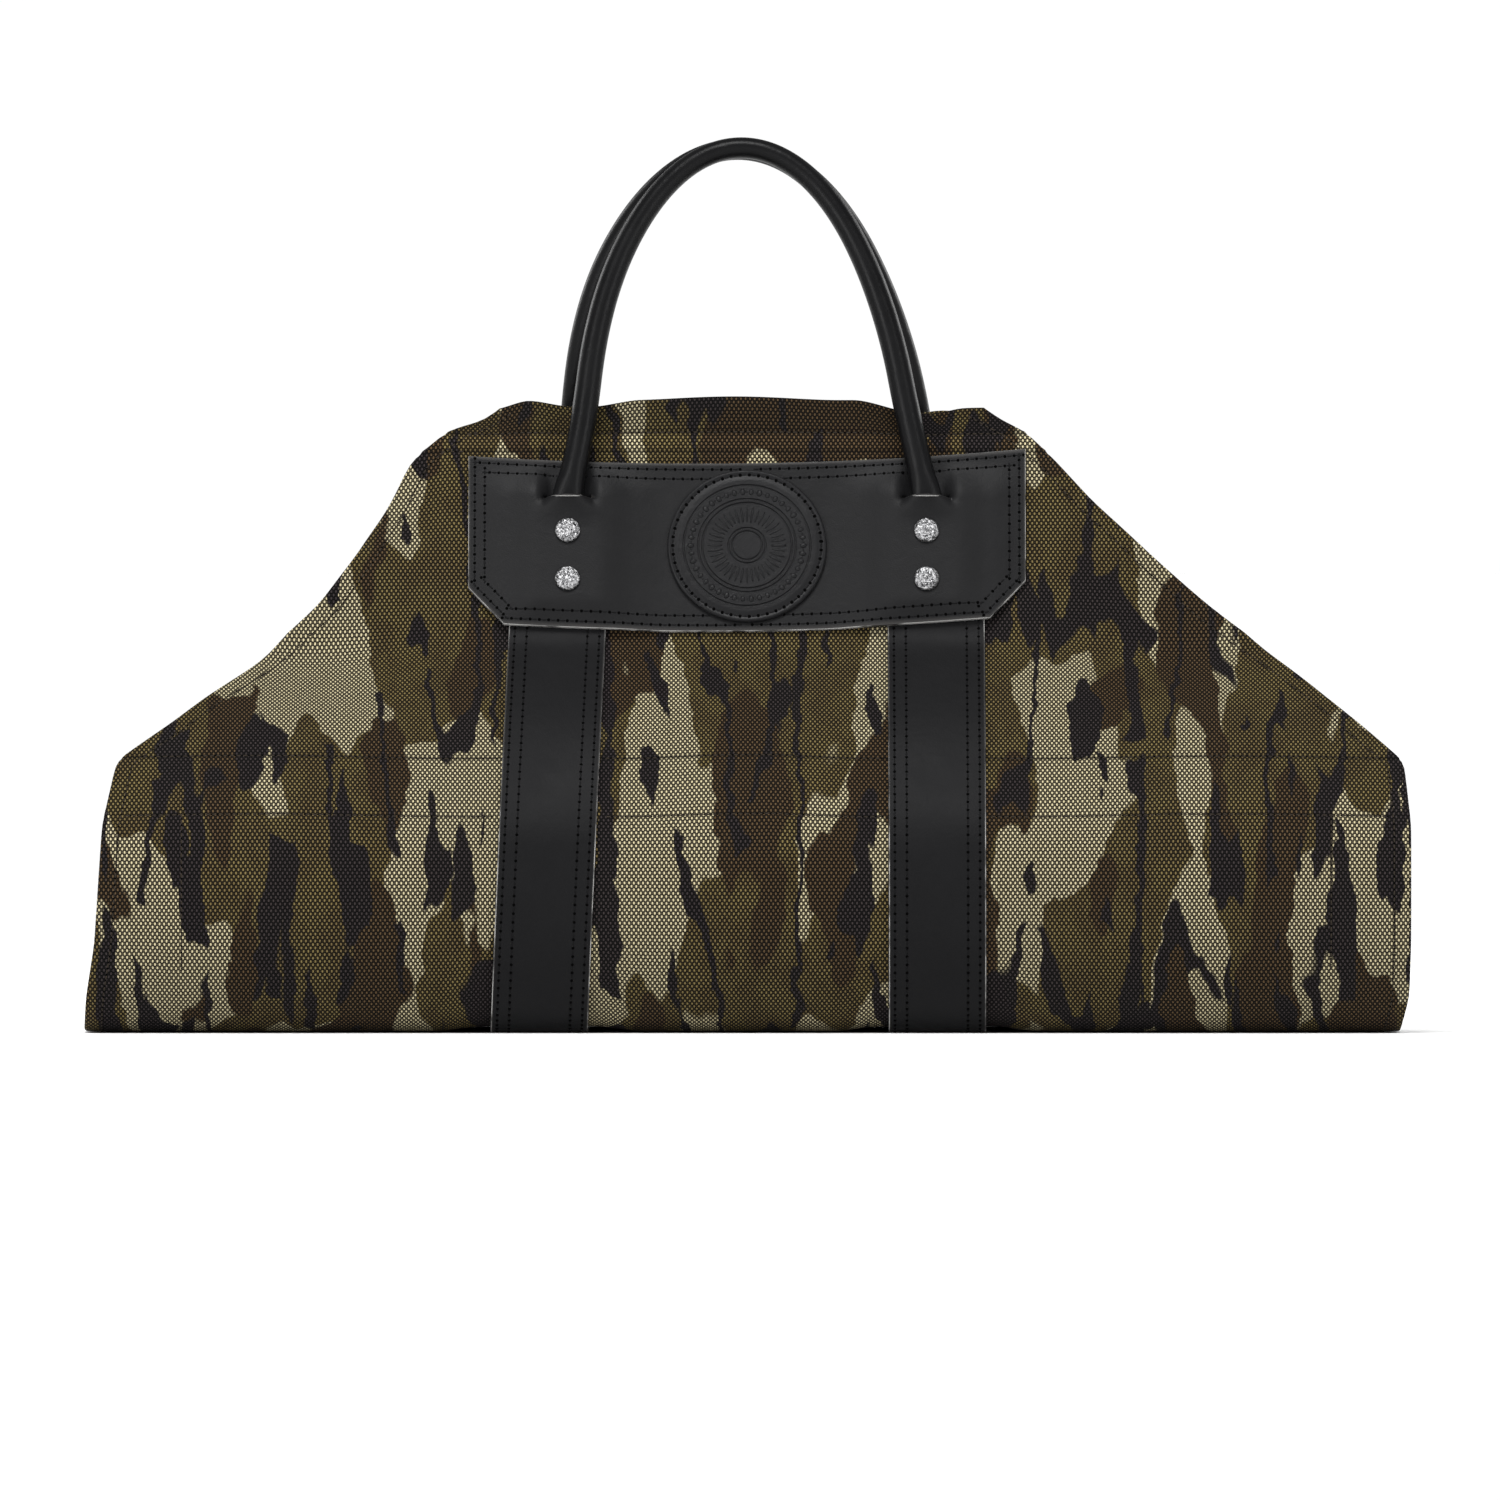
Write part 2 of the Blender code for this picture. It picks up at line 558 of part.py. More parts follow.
def build_panel(name, wall, collection, finish, parent):
    """Panel over straps and tongues, with two slots whose lower lips stand out."""
    columns = panel_columns()
    rows = [panel_rows(across) for across in columns]
    slot_row = len(rows[0]) - 2
    sheet = bmesh.new()
    bmesh.ops.create_grid(sheet, x_segments=len(columns) - 1, y_segments=len(rows[0]) - 1, size=1.0)
    places = {}
    for corner in sheet.verts:
        column = round((corner.co.x + 1.0) / 2.0 * (len(columns) - 1))
        row = round((corner.co.y + 1.0) / 2.0 * (len(rows[0]) - 1))
        places[corner] = (column, row)
    in_slot = {index for index, across in enumerate(columns)
               if abs(abs(across) - SLOT_HALF_SPACING) < SLOT_HALF_WIDTH - GAP}
    lips = [edge for edge in sheet.edges
            if all(places[corner][1] == slot_row for corner in edge.verts)
            and any(places[corner][0] in in_slot for corner in edge.verts)]
    for corner, (column, row) in places.items():
        corner.co = Vector((column, row, 0.0))
    bmesh.ops.split_edges(sheet, edges=lips)
    spots = {}
    for corner in sheet.verts:
        column, row = round(corner.co.x), round(corner.co.y)
        across, below = columns[column], rows[column][row]
        is_lip = (row == slot_row and column in in_slot
                  and all(face.calc_center_median().y < slot_row for face in corner.link_faces))
        aside = abs(across) - SLOT_HALF_SPACING
        if is_lip:
            rise = panel_rise(aside, 0.0)
            below = SLOT_LIP_DROP * (1.0 - (aside / SLOT_HALF_WIDTH) ** 2)
        elif row == slot_row:
            rise = PANEL_OVER_CANVAS
        else:
            rise = panel_rise(aside, below)
        spots[corner] = layer_point(across, wall * (SLOT_RUN - below), rise)
    for corner in sheet.verts:
        corner.co = spots[corner]
    if wall == BACK:
        bmesh.ops.reverse_faces(sheet, faces=sheet.faces[:])
    mesh = bpy.data.meshes.new(name)
    sheet.to_mesh(mesh)
    sheet.free()
    panel = add_object(name, mesh, collection, finish, parent)
    thicken(panel, PANEL_THICKNESS, 1)
    return panel


def handle_path(handle):
    """Centre, outward direction, width, thickness and squareness along a handle, left to right."""
    wall = handle["wall"]
    leg = []
    for row in ROOT:
        below = row["below"] * TONGUE_LENGTH
        width, thickness, square = root_at(below)
        run = wall * (SLOT_RUN - below)
        centre = layer_point(SLOT_HALF_SPACING, run, TONGUE_OUT + thickness / 2.0)
        leg.append((centre, section_at(run)[2], width, thickness, square))
    foot, outward = leg[-1][0], leg[-1][1]
    top = Vector((0.0, wall * (HANDLE_DIAMETER + HANDLE_TOP_GAP) / 2.0,
                  HANDLE_TOP_HEIGHT - HANDLE_DIAMETER / 2.0 - handle["drop"]))
    half_width = SLOT_HALF_SPACING - handle["bow"]
    upright = Vector((0.0, wall * math.cos(WALL_LEAN), math.sin(WALL_LEAN)))
    arch = []
    for step in range(1, ARCH_SEGMENTS):
        angle = math.pi * step / ARCH_SEGMENTS
        climb = math.sin(angle)
        side = -math.cos(angle)
        splay = handle["bow"] * smooth(1.0 - climb / HANDLE_SPLAY_END)
        across = half_width * side + math.copysign(splay, side) + handle["shift"] * climb
        centre = Vector((across, mix(foot.y, top.y, climb), mix(foot.z, top.z, climb)))
        arch.append((centre, outward.lerp(upright, climb).normalized(),
                     HANDLE_DIAMETER, HANDLE_DIAMETER, 2.0))
    left = [(Vector((-centre.x, centre.y, centre.z)), *rest) for centre, *rest in leg]
    return left + arch + leg[::-1]


def build_handle(handle, collection, finish, parent):
    """Rolled handle that is lofted from a flat tongue, over its arch, to the other tongue."""
    path = handle_path(handle)
    loft = bmesh.new()
    rings = []
    for index, (centre, outward, width, thickness, square) in enumerate(path):
        before = path[max(0, index - 1)][0]
        after = path[min(len(path) - 1, index + 1)][0]
        along = (after - before).normalized()
        aside = outward.cross(along).normalized()
        level = along.cross(aside)
        ring = []
        for corner in range(HANDLE_SIDES):
            angle = 2.0 * math.pi * (corner + 0.5) / HANDLE_SIDES
            far = math.copysign(abs(math.cos(angle)) ** (2.0 / square), math.cos(angle))
            high = math.copysign(abs(math.sin(angle)) ** (2.0 / square), math.sin(angle))
            ring.append(loft.verts.new(centre + aside * far * width / 2.0 + level * high * thickness / 2.0))
        rings.append(ring)
    for first, second in zip(rings, rings[1:]):
        for corner in range(HANDLE_SIDES):
            following = (corner + 1) % HANDLE_SIDES
            loft.faces.new((first[corner], first[following], second[following], second[corner]))
    loft.faces.new(rings[0][::-1])
    loft.faces.new(rings[-1])
    bmesh.ops.recalc_face_normals(loft, faces=loft.faces[:])
    mesh = bpy.data.meshes.new(handle["name"])
    loft.to_mesh(mesh)
    loft.free()
    return add_object(handle["name"], mesh, collection, finish, parent)


def seat_matrix(across, run):
    """Placement on the sheet whose local Z is the outward direction and local X is across."""
    y, z, outward = section_at(run)
    side = Vector((1.0, 0.0, 0.0))
    up = outward.cross(side)
    turn = Matrix((side, up, outward)).transposed().to_4x4()
    return Matrix.Translation((across, y, z)) @ turn


def turned_mesh(name, profile):
    """Mesh of one open line, radius and level from the top down, that is turned about Z."""
    mesh = bpy.data.meshes.new(name)
    points = [(radius, 0.0, level) for radius, level in profile]
    mesh.from_pydata(points, [(index, index + 1) for index in range(len(points) - 1)], [])
    return mesh


def turn_round(part, sides):
    """Turn a profile about its own Z axis."""
    screw = part.modifiers.new("turning", "SCREW")
    screw.steps = sides
    screw.render_steps = sides
    screw.use_merge_vertices = True
    screw.merge_threshold = 0.00001
    screw.use_smooth_shade = True


def build_rivet(name, across, run, collection, finish, parent):
    """Rivet with a domed head outside, a shank through every layer and a burr inside."""
    profile = [(row["radius"] * RIVET_HEAD_RADIUS, RIVET_HEAD_OUT + row["rise"] * RIVET_HEAD_HEIGHT)
               for row in RIVET_DOME]
    inside = -CANVAS_THICKNESS - GAP
    profile += [(RIVET_SHANK_RADIUS, RIVET_HEAD_OUT), (RIVET_SHANK_RADIUS, inside),
                (RIVET_BURR_RADIUS, inside), (RIVET_BURR_RADIUS, inside - RIVET_BURR_THICKNESS),
                (0.0, inside - RIVET_BURR_THICKNESS)]
    rivet = add_object(name, turned_mesh(name, profile), collection, finish, parent)
    rivet.matrix_world = seat_matrix(across, run)
    turn_round(rivet, RIVET_SIDES)
    return rivet


def build_hole_cutter(name, across, run, collection):
    """Cutter of one rivet hole, through canvas, strap, tongue and panel."""
    bottom = -CANVAS_THICKNESS * 2.0
    top = RIVET_HEAD_OUT + RIVET_HEAD_HEIGHT
    tool = bmesh.new()
    bmesh.ops.create_cone(tool, cap_ends=True, segments=HOLE_SIDES, depth=top - bottom,
                          radius1=RIVET_SHANK_RADIUS + GAP, radius2=RIVET_SHANK_RADIUS + GAP,
                          matrix=Matrix.Translation((0.0, 0.0, (top + bottom) / 2.0)))
    mesh = bpy.data.meshes.new(name)
    tool.to_mesh(mesh)
    tool.free()
    cutter = add_object(name, mesh, collection)
    cutter.matrix_world = seat_matrix(across, run)
    cutter.hide_render = True
    cutter.display_type = "WIRE"
    return cutter


def build_patch(collection, finish, parent):
    """Round patch on the middle of the front panel, with plain turned rings."""
    profile = [(row["radius"] * PATCH_RADIUS,
                PATCH_OUT + PATCH_THICKNESS - PATCH_RELIEF * (1.0 - row["rise"])) for row in PATCH_RINGS]
    profile += [(PATCH_RADIUS, PATCH_OUT + PATCH_THICKNESS * PATCH_EDGE_SHARE),
                (PATCH_RADIUS, PATCH_OUT), (0.0, PATCH_OUT)]
    patch = add_object("round_patch", turned_mesh("round_patch", profile), collection, finish, parent)
    patch.matrix_world = seat_matrix(0.0, FRONT * run_at(PATCH_HEIGHT))
    turn_round(patch, PATCH_SIDES)
    return patch


def clear_scene():
    """Remove the objects and collections that are in the scene."""
    for old in list(bpy.data.objects):
        bpy.data.objects.remove(old, do_unlink=True)
    for old in list(bpy.data.collections):
        bpy.data.collections.remove(old)


def shade(parts):
    """Smooth shading with crisp edges on the pieces that have faces of their own."""
    for part in parts:
        if part.data.polygons:
            part.data.shade_smooth()
            part.data.set_sharp_from_angle(angle=CREASE)


def main():
    """Build the carrier."""
    clear_scene()
    carrier = bpy.data.collections.new("canvas_log_carrier")
    cutters = bpy.data.collections.new("rivet_hole_cutters")
    bpy.context.scene.collection.children.link(carrier)
    bpy.context.scene.collection.children.link(cutters)
    root = bpy.data.objects.new("log_carrier", None)
    carrier.objects.link(root)
    finishes = {name: make_finish(name) for name in FINISHES}

    canvas = build_canvas(carrier, finishes["canvas"], root)
    straps = [build_strap(strap, carrier, finishes["strap"], root) for strap in STRAPS]
    panels = [build_panel("front_panel", FRONT, carrier, finishes["leather"], root),
              build_panel("back_panel", BACK, carrier, finishes["leather"], root)]
    handles = [build_handle(handle, carrier, finishes["handle"], root) for handle in HANDLES]
    build_patch(carrier, finishes["patch"], root)

    for word, wall in (("front", FRONT), ("back", BACK)):
        spots = [(side * SLOT_HALF_SPACING, drop) for side in (-1, 1) for drop in RIVET_DROPS]
        for number, (across, drop) in enumerate(spots, start=1):
            run = wall * (SLOT_RUN - drop * TONGUE_LENGTH)
            build_rivet(f"{word}_rivet_{number}", across, run, carrier, finishes["rivet"], root)
            build_hole_cutter(f"{word}_hole_{number}", across, run, cutters)

    for part in [canvas] + straps + panels + handles:
        drill(part, cutters)
    shade([canvas] + straps + panels + handles)


main()
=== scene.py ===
"""Visual model of a canvas log carrier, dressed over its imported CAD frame.

Metres, +Z up, front towards -Y. The cloth is described by across, which is X, and run, the length
along the sheet from the middle of its bottom, negative up the front wall and positive up the back.
"""
import logging
import math
from dataclasses import dataclass, field
from enum import Enum
from typing import Callable, Sequence, Union

import bmesh
import bpy
import numpy as np
from mathutils import Matrix, Vector


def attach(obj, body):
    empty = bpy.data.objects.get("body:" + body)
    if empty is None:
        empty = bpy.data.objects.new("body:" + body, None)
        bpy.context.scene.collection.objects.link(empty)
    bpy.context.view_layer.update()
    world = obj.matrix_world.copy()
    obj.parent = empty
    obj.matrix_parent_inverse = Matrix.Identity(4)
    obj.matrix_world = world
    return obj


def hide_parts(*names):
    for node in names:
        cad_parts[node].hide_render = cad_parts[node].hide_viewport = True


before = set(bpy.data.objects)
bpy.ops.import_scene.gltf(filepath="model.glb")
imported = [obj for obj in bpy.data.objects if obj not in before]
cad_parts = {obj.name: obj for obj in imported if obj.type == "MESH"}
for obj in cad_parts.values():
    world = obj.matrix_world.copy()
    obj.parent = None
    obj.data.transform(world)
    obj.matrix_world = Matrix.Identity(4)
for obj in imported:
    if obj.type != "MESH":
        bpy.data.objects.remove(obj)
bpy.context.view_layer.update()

log = logging.getLogger("log_carrier")

GAP = 0.0003
Array = np.ndarray
Object = bpy.types.Object
Material = bpy.types.Material
Mesh = bpy.types.Mesh
Tree = bpy.types.NodeTree
Surface = Callable[[Array, Array], Array]
Seam = tuple[Array, Array]
Colour = tuple[float, float, float]
Point = tuple[float, float, float]
Socket = bpy.types.NodeSocket
Value = Union[Socket, bpy.types.ID, float, str, Sequence[float]]


class Wall(Enum):
    """A wall of the sheet, by the sign of its runs, or both walls."""

    FRONT = -1
    BOTH = 0
    BACK = 1


class Side(Enum):
    """Left or right half of the carrier, by the sign of X."""

    LEFT = -1
    RIGHT = 1


def mix(first: float, second: float, share: float) -> float:
    """Value that lies the given share of the way from first to second."""
    return first + (second - first) * share


def smooth(value: Array) -> Array:
    """Ease from 0 to 1 as value goes from 0 to 1, and stay there outside."""
    value = np.clip(value, 0.0, 1.0)
    return value * value * (3.0 - 2.0 * value)


def swell(distance: Array) -> Array:
    """Round hill of height 1 at distance 0, that is flat ground from distance 1 on."""
    return np.where(np.abs(distance) < 1.0, (1.0 - distance * distance) ** 2, 0.0)


def unit(vectors: Array) -> Array:
    """Vectors of length 1 along the last axis."""
    return vectors / np.maximum(np.linalg.norm(vectors, axis=-1, keepdims=True), 1e-12)


# Shapes


@dataclass(frozen=True)
class SectionRow:
    """One row of the sheet's section.

    Height is a share of the rise to the leaning part, depth a share of the half depth, and heading
    the way the cloth runs in degrees.
    """

    height: float
    depth: float
    heading: float


@dataclass(frozen=True)
class EdgeRow:
    """Half widths of the sheet at a share of the wall's height, as shares of the half width."""

    height: float
    left: float
    right: float


@dataclass(frozen=True)
class Fold:
    """A soft swell or hollow of the canvas, in shares of half width, wall height and half depth."""

    wall: Wall
    across: float
    height: float
    reach_across: float
    reach_up: float
    push: float


@dataclass(frozen=True)
class Wave:
    """A wave of the mouth edge, in shares of the half width and of the hem's depth."""

    wall: Wall
    across: float
    reach: float
    push: float
    lift: float


@dataclass(frozen=True)
class Ripple:
    """A low diagonal or upright wrinkle of the cloth, in metres and degrees."""

    wall: Wall
    across: float
    height: float
    length: float
    width: float
    turn: float
    push: float


@dataclass
class Sling:
    """Shape of the whole sheet, which every other piece lies on."""

    wall_height: float = 0.3165
    half_width: float = 0.3315
    half_depth: float = 0.140
    thickness: float = 0.0016
    mouth_half_gap: float = 0.0205
    lean: float = math.radians(18.0)
    back_inset: float = 0.004
    floor_clearance: float = 0.0004
    sag_reach: float = 0.025
    sag_height: float = 0.050
    hem_depth: float = 0.024
    strap_thickness: float = 0.0025
    strap_width: float = 0.0485
    strap_margin: float = 0.003
    strap_past_slot: float = 0.0048
    strap_floor_shift: tuple[float, float] = (0.0140, 0.0052)
    slot_below_rim: float = 0.051
    slot_half_spacing: float = 0.090
    panel_above_slot: float = 0.0235
    panel_below_slot: float = 0.0605
    panel_sag: float = 0.0058
    trace_samples: int = 48
    trace_step: float = 0.0004
    edge_softness: float = 0.009
    edge_margin: float = 0.06
    edge_samples: int = 1121
    edge_window: int = 40
    edge_trim: int = 50
    rows: tuple[SectionRow, ...] = (
        SectionRow(0.000, 0.000, 0.0), SectionRow(0.000, 0.700, 0.0), SectionRow(0.254, 0.986, 82.0),
        SectionRow(0.446, 1.000, 96.0), SectionRow(0.664, 0.857, 125.0),
        SectionRow(0.798, 0.696, 136.0), SectionRow(0.935, 0.489, 138.0))
    edge: tuple[EdgeRow, ...] = (
        EdgeRow(0.00, 1.000, 0.984), EdgeRow(0.06, 0.996, 0.998), EdgeRow(0.14, 0.983, 1.000),
        EdgeRow(0.33, 0.971, 1.000), EdgeRow(0.43, 0.950, 0.990), EdgeRow(0.49, 0.866, 0.923),
        EdgeRow(0.56, 0.781, 0.841), EdgeRow(0.62, 0.712, 0.771), EdgeRow(0.68, 0.647, 0.697),
        EdgeRow(0.75, 0.594, 0.618), EdgeRow(0.84, 0.545, 0.523), EdgeRow(0.905, 0.512, 0.466),
        EdgeRow(0.95, 0.454, 0.422), EdgeRow(1.00, 0.376, 0.359))
    folds: tuple[Fold, ...] = (
        Fold(Wall.BOTH, 0.00, 0.34, 0.19, 0.36, 0.030),
        Fold(Wall.BOTH, -0.74, 0.30, 0.32, 0.38, 0.028),
        Fold(Wall.BOTH, 0.73, 0.27, 0.32, 0.36, 0.028),
        Fold(Wall.FRONT, -0.555, 0.86, 0.115, 0.12, -0.090),
        Fold(Wall.FRONT, -0.66, 0.60, 0.20, 0.17, -0.050),
        Fold(Wall.FRONT, 0.66, 0.64, 0.21, 0.20, -0.040),
        Fold(Wall.BACK, -0.64, 0.66, 0.19, 0.20, -0.045),
        Fold(Wall.BACK, 0.68, 0.60, 0.22, 0.17, -0.045))
    waves: tuple[Wave, ...] = (
        Wave(Wall.FRONT, -0.25, 0.09, 0.00, -0.15), Wave(Wall.FRONT, 0.27, 0.11, 0.00, -0.28),
        Wave(Wall.FRONT, -0.02, 0.16, 0.18, 0.02), Wave(Wall.FRONT, -0.40, 0.09, -0.20, 0.00),
        Wave(Wall.BACK, -0.26, 0.10, 0.00, -0.20), Wave(Wall.BACK, 0.25, 0.10, 0.00, -0.22),
        Wave(Wall.BACK, 0.04, 0.15, 0.15, 0.00), Wave(Wall.BACK, 0.37, 0.08, -0.15, 0.00),
        Wave(Wall.FRONT, -0.400, 0.070, 0.00, -0.16), Wave(Wall.FRONT, 0.383, 0.070, 0.00, -0.16),
        Wave(Wall.BACK, -0.385, 0.090, 0.00, -0.22), Wave(Wall.BACK, 0.368, 0.090, 0.00, -0.22),
        Wave(Wall.BACK, 0.00, 0.80, 0.00, -0.07))
    ripples: tuple[Ripple, ...] = (
        Ripple(Wall.FRONT, -0.235, 0.075, 0.070, 0.012, 6.0, 0.0011),
        Ripple(Wall.FRONT, -0.290, 0.060, 0.060, 0.010, -9.0, 0.0010),
        Ripple(Wall.FRONT, 0.215, 0.080, 0.075, 0.012, -5.0, 0.0011),
        Ripple(Wall.FRONT, 0.285, 0.065, 0.060, 0.010, 8.0, 0.0010),
        Ripple(Wall.FRONT, -0.185, 0.175, 0.050, 0.009, 28.0, -0.0009),
        Ripple(Wall.FRONT, 0.180, 0.180, 0.055, 0.009, -24.0, -0.0009),
        Ripple(Wall.FRONT, 0.012, 0.095, 0.080, 0.011, 3.0, 0.0008),
        Ripple(Wall.BACK, -0.230, 0.080, 0.070, 0.012, -7.0, 0.0011),
        Ripple(Wall.BACK, 0.225, 0.075, 0.070, 0.012, 6.0, 0.0011),
        Ripple(Wall.BACK, 0.178, 0.170, 0.055, 0.009, -30.0, -0.0009),
        Ripple(Wall.BACK, -0.190, 0.180, 0.050, 0.009, 26.0, -0.0009),
        Ripple(Wall.BACK, 0.000, 0.090, 0.080, 0.011, -4.0, 0.0008))
    runs: Array = field(init=False, repr=False)
    depths: Array = field(init=False, repr=False)
    heights: Array = field(init=False, repr=False)
    edge_tables: dict[Side, tuple[Array, Array]] = field(init=False, repr=False)

    def __post_init__(self) -> None:
        """Trace the section and smooth the side edges once."""
        self.edge_tables = {side: self.soft_edge(side) for side in Side}
        self.seat = self.strap_thickness + GAP
        self.slot_height = self.wall_height - self.slot_below_rim
        self.panel_bottom_height = self.slot_height - self.panel_below_slot
        self.lean_start = self.panel_bottom_height - self.panel_sag + GAP
        self.trace()
        self.rim_run = float(self.runs[-1])
        self.wall_start = int(np.argmax(self.heights > self.seat + GAP))
        self.slot_run = self.run_at(self.slot_height)
        self.panel_top_run = self.run_at(self.slot_height + self.panel_above_slot)
        self.panel_bottom_run = self.run_at(self.panel_bottom_height)

    def leaning_depth(self, height: float) -> float:
        """Depth of the straight upper wall at a height above the floor."""
        return self.mouth_half_gap + math.tan(self.lean) * (self.wall_height - height)

    def trace(self) -> None:
        """Sample the section finely, with a cubic curve from each row to the next."""
        spots = [(row.depth * self.half_depth, mix(self.seat, self.lean_start, row.height),
                  math.radians(row.heading)) for row in self.rows]
        spots += [(self.leaning_depth(height), height, math.pi / 2.0 + self.lean)
                  for height in (self.lean_start, self.wall_height)]
        knots = [(np.array((depth, height)), np.array((math.cos(turn), math.sin(turn))))
                 for depth, height, turn in spots]
        points = [knots[0][0]]
        for (start, leave), (end, arrive) in zip(knots, knots[1:]):
            pull = np.linalg.norm(end - start)
            for step in range(1, self.trace_samples + 1):
                t = step / self.trace_samples
                points.append((2 * t**3 - 3 * t**2 + 1) * start + (t**3 - 2 * t**2 + t) * pull * leave
                              + (3 * t**2 - 2 * t**3) * end + (t**3 - t**2) * pull * arrive)
        line = np.array(points)
        steps = np.linalg.norm(np.diff(line, axis=0), axis=1)
        self.runs = np.concatenate(([0.0], np.cumsum(steps)))
        self.depths, self.heights = line[:, 0], line[:, 1]

    def run_at(self, height: float) -> float:
        """Run, up one wall, at which the bare section reaches a height."""
        return float(np.interp(height, self.heights[self.wall_start:], self.runs[self.wall_start:]))

    def height_at(self, run: Array) -> Array:
        """Height of the bare section at runs of either wall."""
        return np.interp(np.abs(run), self.runs, self.heights)

    def bare(self, across: Array, run: Array) -> tuple[Array, Array]:
        """Bare section of the sheet.

        Args:
            across: X of each point.
            run: run of each point.

        Returns:
            The points, and the outward direction at each.
        """
        across, run = np.broadcast_arrays(np.asarray(across, float), np.asarray(run, float))
        wall = np.where(run < 0.0, -1.0, 1.0)
        length = np.minimum(np.abs(run), self.rim_run)
        ahead = np.minimum(self.rim_run, length + self.trace_step)
        behind = np.maximum(0.0, length - self.trace_step)
        rise = np.interp(ahead, self.runs, self.heights) - np.interp(behind, self.runs, self.heights)
        reach = np.interp(ahead, self.runs, self.depths) - np.interp(behind, self.runs, self.depths)
        outward = unit(np.stack([np.zeros_like(run), wall * rise, -reach], axis=-1))
        depth = np.interp(length, self.runs, self.depths)
        height = np.interp(length, self.runs, self.heights)
        return np.stack([across, wall * depth, height], axis=-1), outward

    def layer(self, across: Array, run: Array, out: Array) -> Array:
        """Points at a distance out from the bare section, where leather lies on the canvas."""
        points, outward = self.bare(across, run)
        return points + outward * np.asarray(out)[..., None]

    def strap_centre(self, side: Side, height: Array) -> Array:
        """X of a strap's centre line at a height on the wall.

        Args:
            side: which strap.
            height: height above the floor.

        Returns:
            The X.
        """
        floor = self.strap_floor_shift[0 if side is Side.LEFT else 1]
        share = np.minimum(1.0, height / self.panel_bottom_height)
        return side.value * (self.slot_half_spacing + mix(floor, self.strap_past_slot, share))

    def beside_straps(self, across: Array, height: Array) -> Array:
        """0 on a strap and its margin, rising to 1 away from every strap.

        Args:
            across: X of each point.
            height: height of each point.

        Returns:
            The share of each point.
        """
        clear = np.minimum(np.abs(across - self.strap_centre(Side.LEFT, height)),
                           np.abs(across - self.strap_centre(Side.RIGHT, height)))
        return smooth((clear - self.strap_width / 2.0 - self.strap_margin) / self.sag_reach)

    def soft_edge(self, side: Side) -> tuple[Array, Array]:
        """Height shares and half width shares of one edge, with its corners eased.

        Args:
            side: which edge.

        Returns:
            The height shares, and the half width share at each.
        """
        shares = np.array([row.left if side is Side.LEFT else row.right for row in self.edge])
        levels = np.array([row.height for row in self.edge])
        slope = (shares[-1] - shares[-2]) / (levels[-1] - levels[-2])
        fine = np.linspace(-self.edge_margin, 1.0 + self.edge_margin, self.edge_samples)
        values = np.interp(fine, levels, shares)
        values = np.where(fine > 1.0, shares[-1] + slope * (fine - 1.0), values)
        reach = np.arange(-self.edge_window, self.edge_window + 1) * (fine[1] - fine[0])
        bell = np.exp(-0.5 * (reach / self.edge_softness) ** 2)
        soft = np.convolve(values, bell / bell.sum(), mode="same")
        inner = slice(self.edge_trim, -self.edge_trim)
        return fine[inner], soft[inner]

    def edge_at(self, height: Array, side: Side, wall: Array) -> Array:
        """Signed X of the sheet's left or right edge at a height.

        Args:
            height: height above the floor.
            side: which edge.
            wall: any number with the wall's sign.

        Returns:
            The X.
        """
        levels, shares = self.edge_tables[side]
        inset = np.where(wall > 0.0, self.back_inset * smooth(height / self.sag_height), 0.0)
        reach = np.interp(height / self.wall_height, levels, shares)
        return side.value * (self.half_width * reach - inset)

    def cloth(self, across: Array, run: Array) -> Array:
        """Outer face of the canvas, with its sag, folds, wrinkles and wavy mouth edge.

        Args:
            across: X of each point.
            run: run of each point.

        Returns:
            The points.
        """
        across, run = np.broadcast_arrays(np.asarray(across, float), np.asarray(run, float))
        points, outward = self.bare(across, run)
        wall = np.where(run < 0.0, -1, 1)
        height = points[..., 2].copy()
        beside = self.beside_straps(across, height)
        sag = (self.seat - self.floor_clearance) * beside
        points[..., 2] -= sag * (1.0 - smooth((height - self.seat) / self.sag_height))
        push = np.zeros_like(across)
        for fold in self.folds:
            here = (wall == fold.wall.value) if fold.wall is not Wall.BOTH else True
            aside = (across / self.half_width - fold.across) / fold.reach_across
            above = (np.abs(run) - self.run_at(fold.height * self.wall_height)) / (
                fold.reach_up * self.wall_height)
            push += here * fold.push * self.half_depth * swell(aside) * swell(above)
        for ripple in self.ripples:
            side = across - ripple.across
            up = np.abs(run) - self.run_at(ripple.height)
            turn = math.radians(ripple.turn)
            along = (up * math.cos(turn) + side * math.sin(turn)) / ripple.length
            aside = (side * math.cos(turn) - up * math.sin(turn)) / ripple.width
            push += (wall == ripple.wall.value) * ripple.push * beside * swell(along) * swell(aside)
        points += outward * push[..., None]
        hem = smooth((np.abs(run) - self.rim_run + self.hem_depth) / self.hem_depth)
        for wave in self.waves:
            share = (wall == wave.wall.value) * hem * self.hem_depth * swell(
                (across / self.half_width - wave.across) / wave.reach)
            points += outward * (wave.push * share)[..., None]
            points[..., 2] += wave.lift * share
        return points


def surface_frames(surface: Surface, across: Array, run: Array) -> Seam:
    """Points of a surface and the outward normals there, by small differences.

    Args:
        surface: gives the points at across and run.
        across: X of each point.
        run: run of each point.

    Returns:
        The points, and the outward direction at each.
    """
    step = 0.0006
    points = surface(across, run)
    aside = surface(across + step, run) - surface(across - step, run)
    along = surface(across, run + step) - surface(across, run - step)
    return points, unit(np.cross(along, aside))


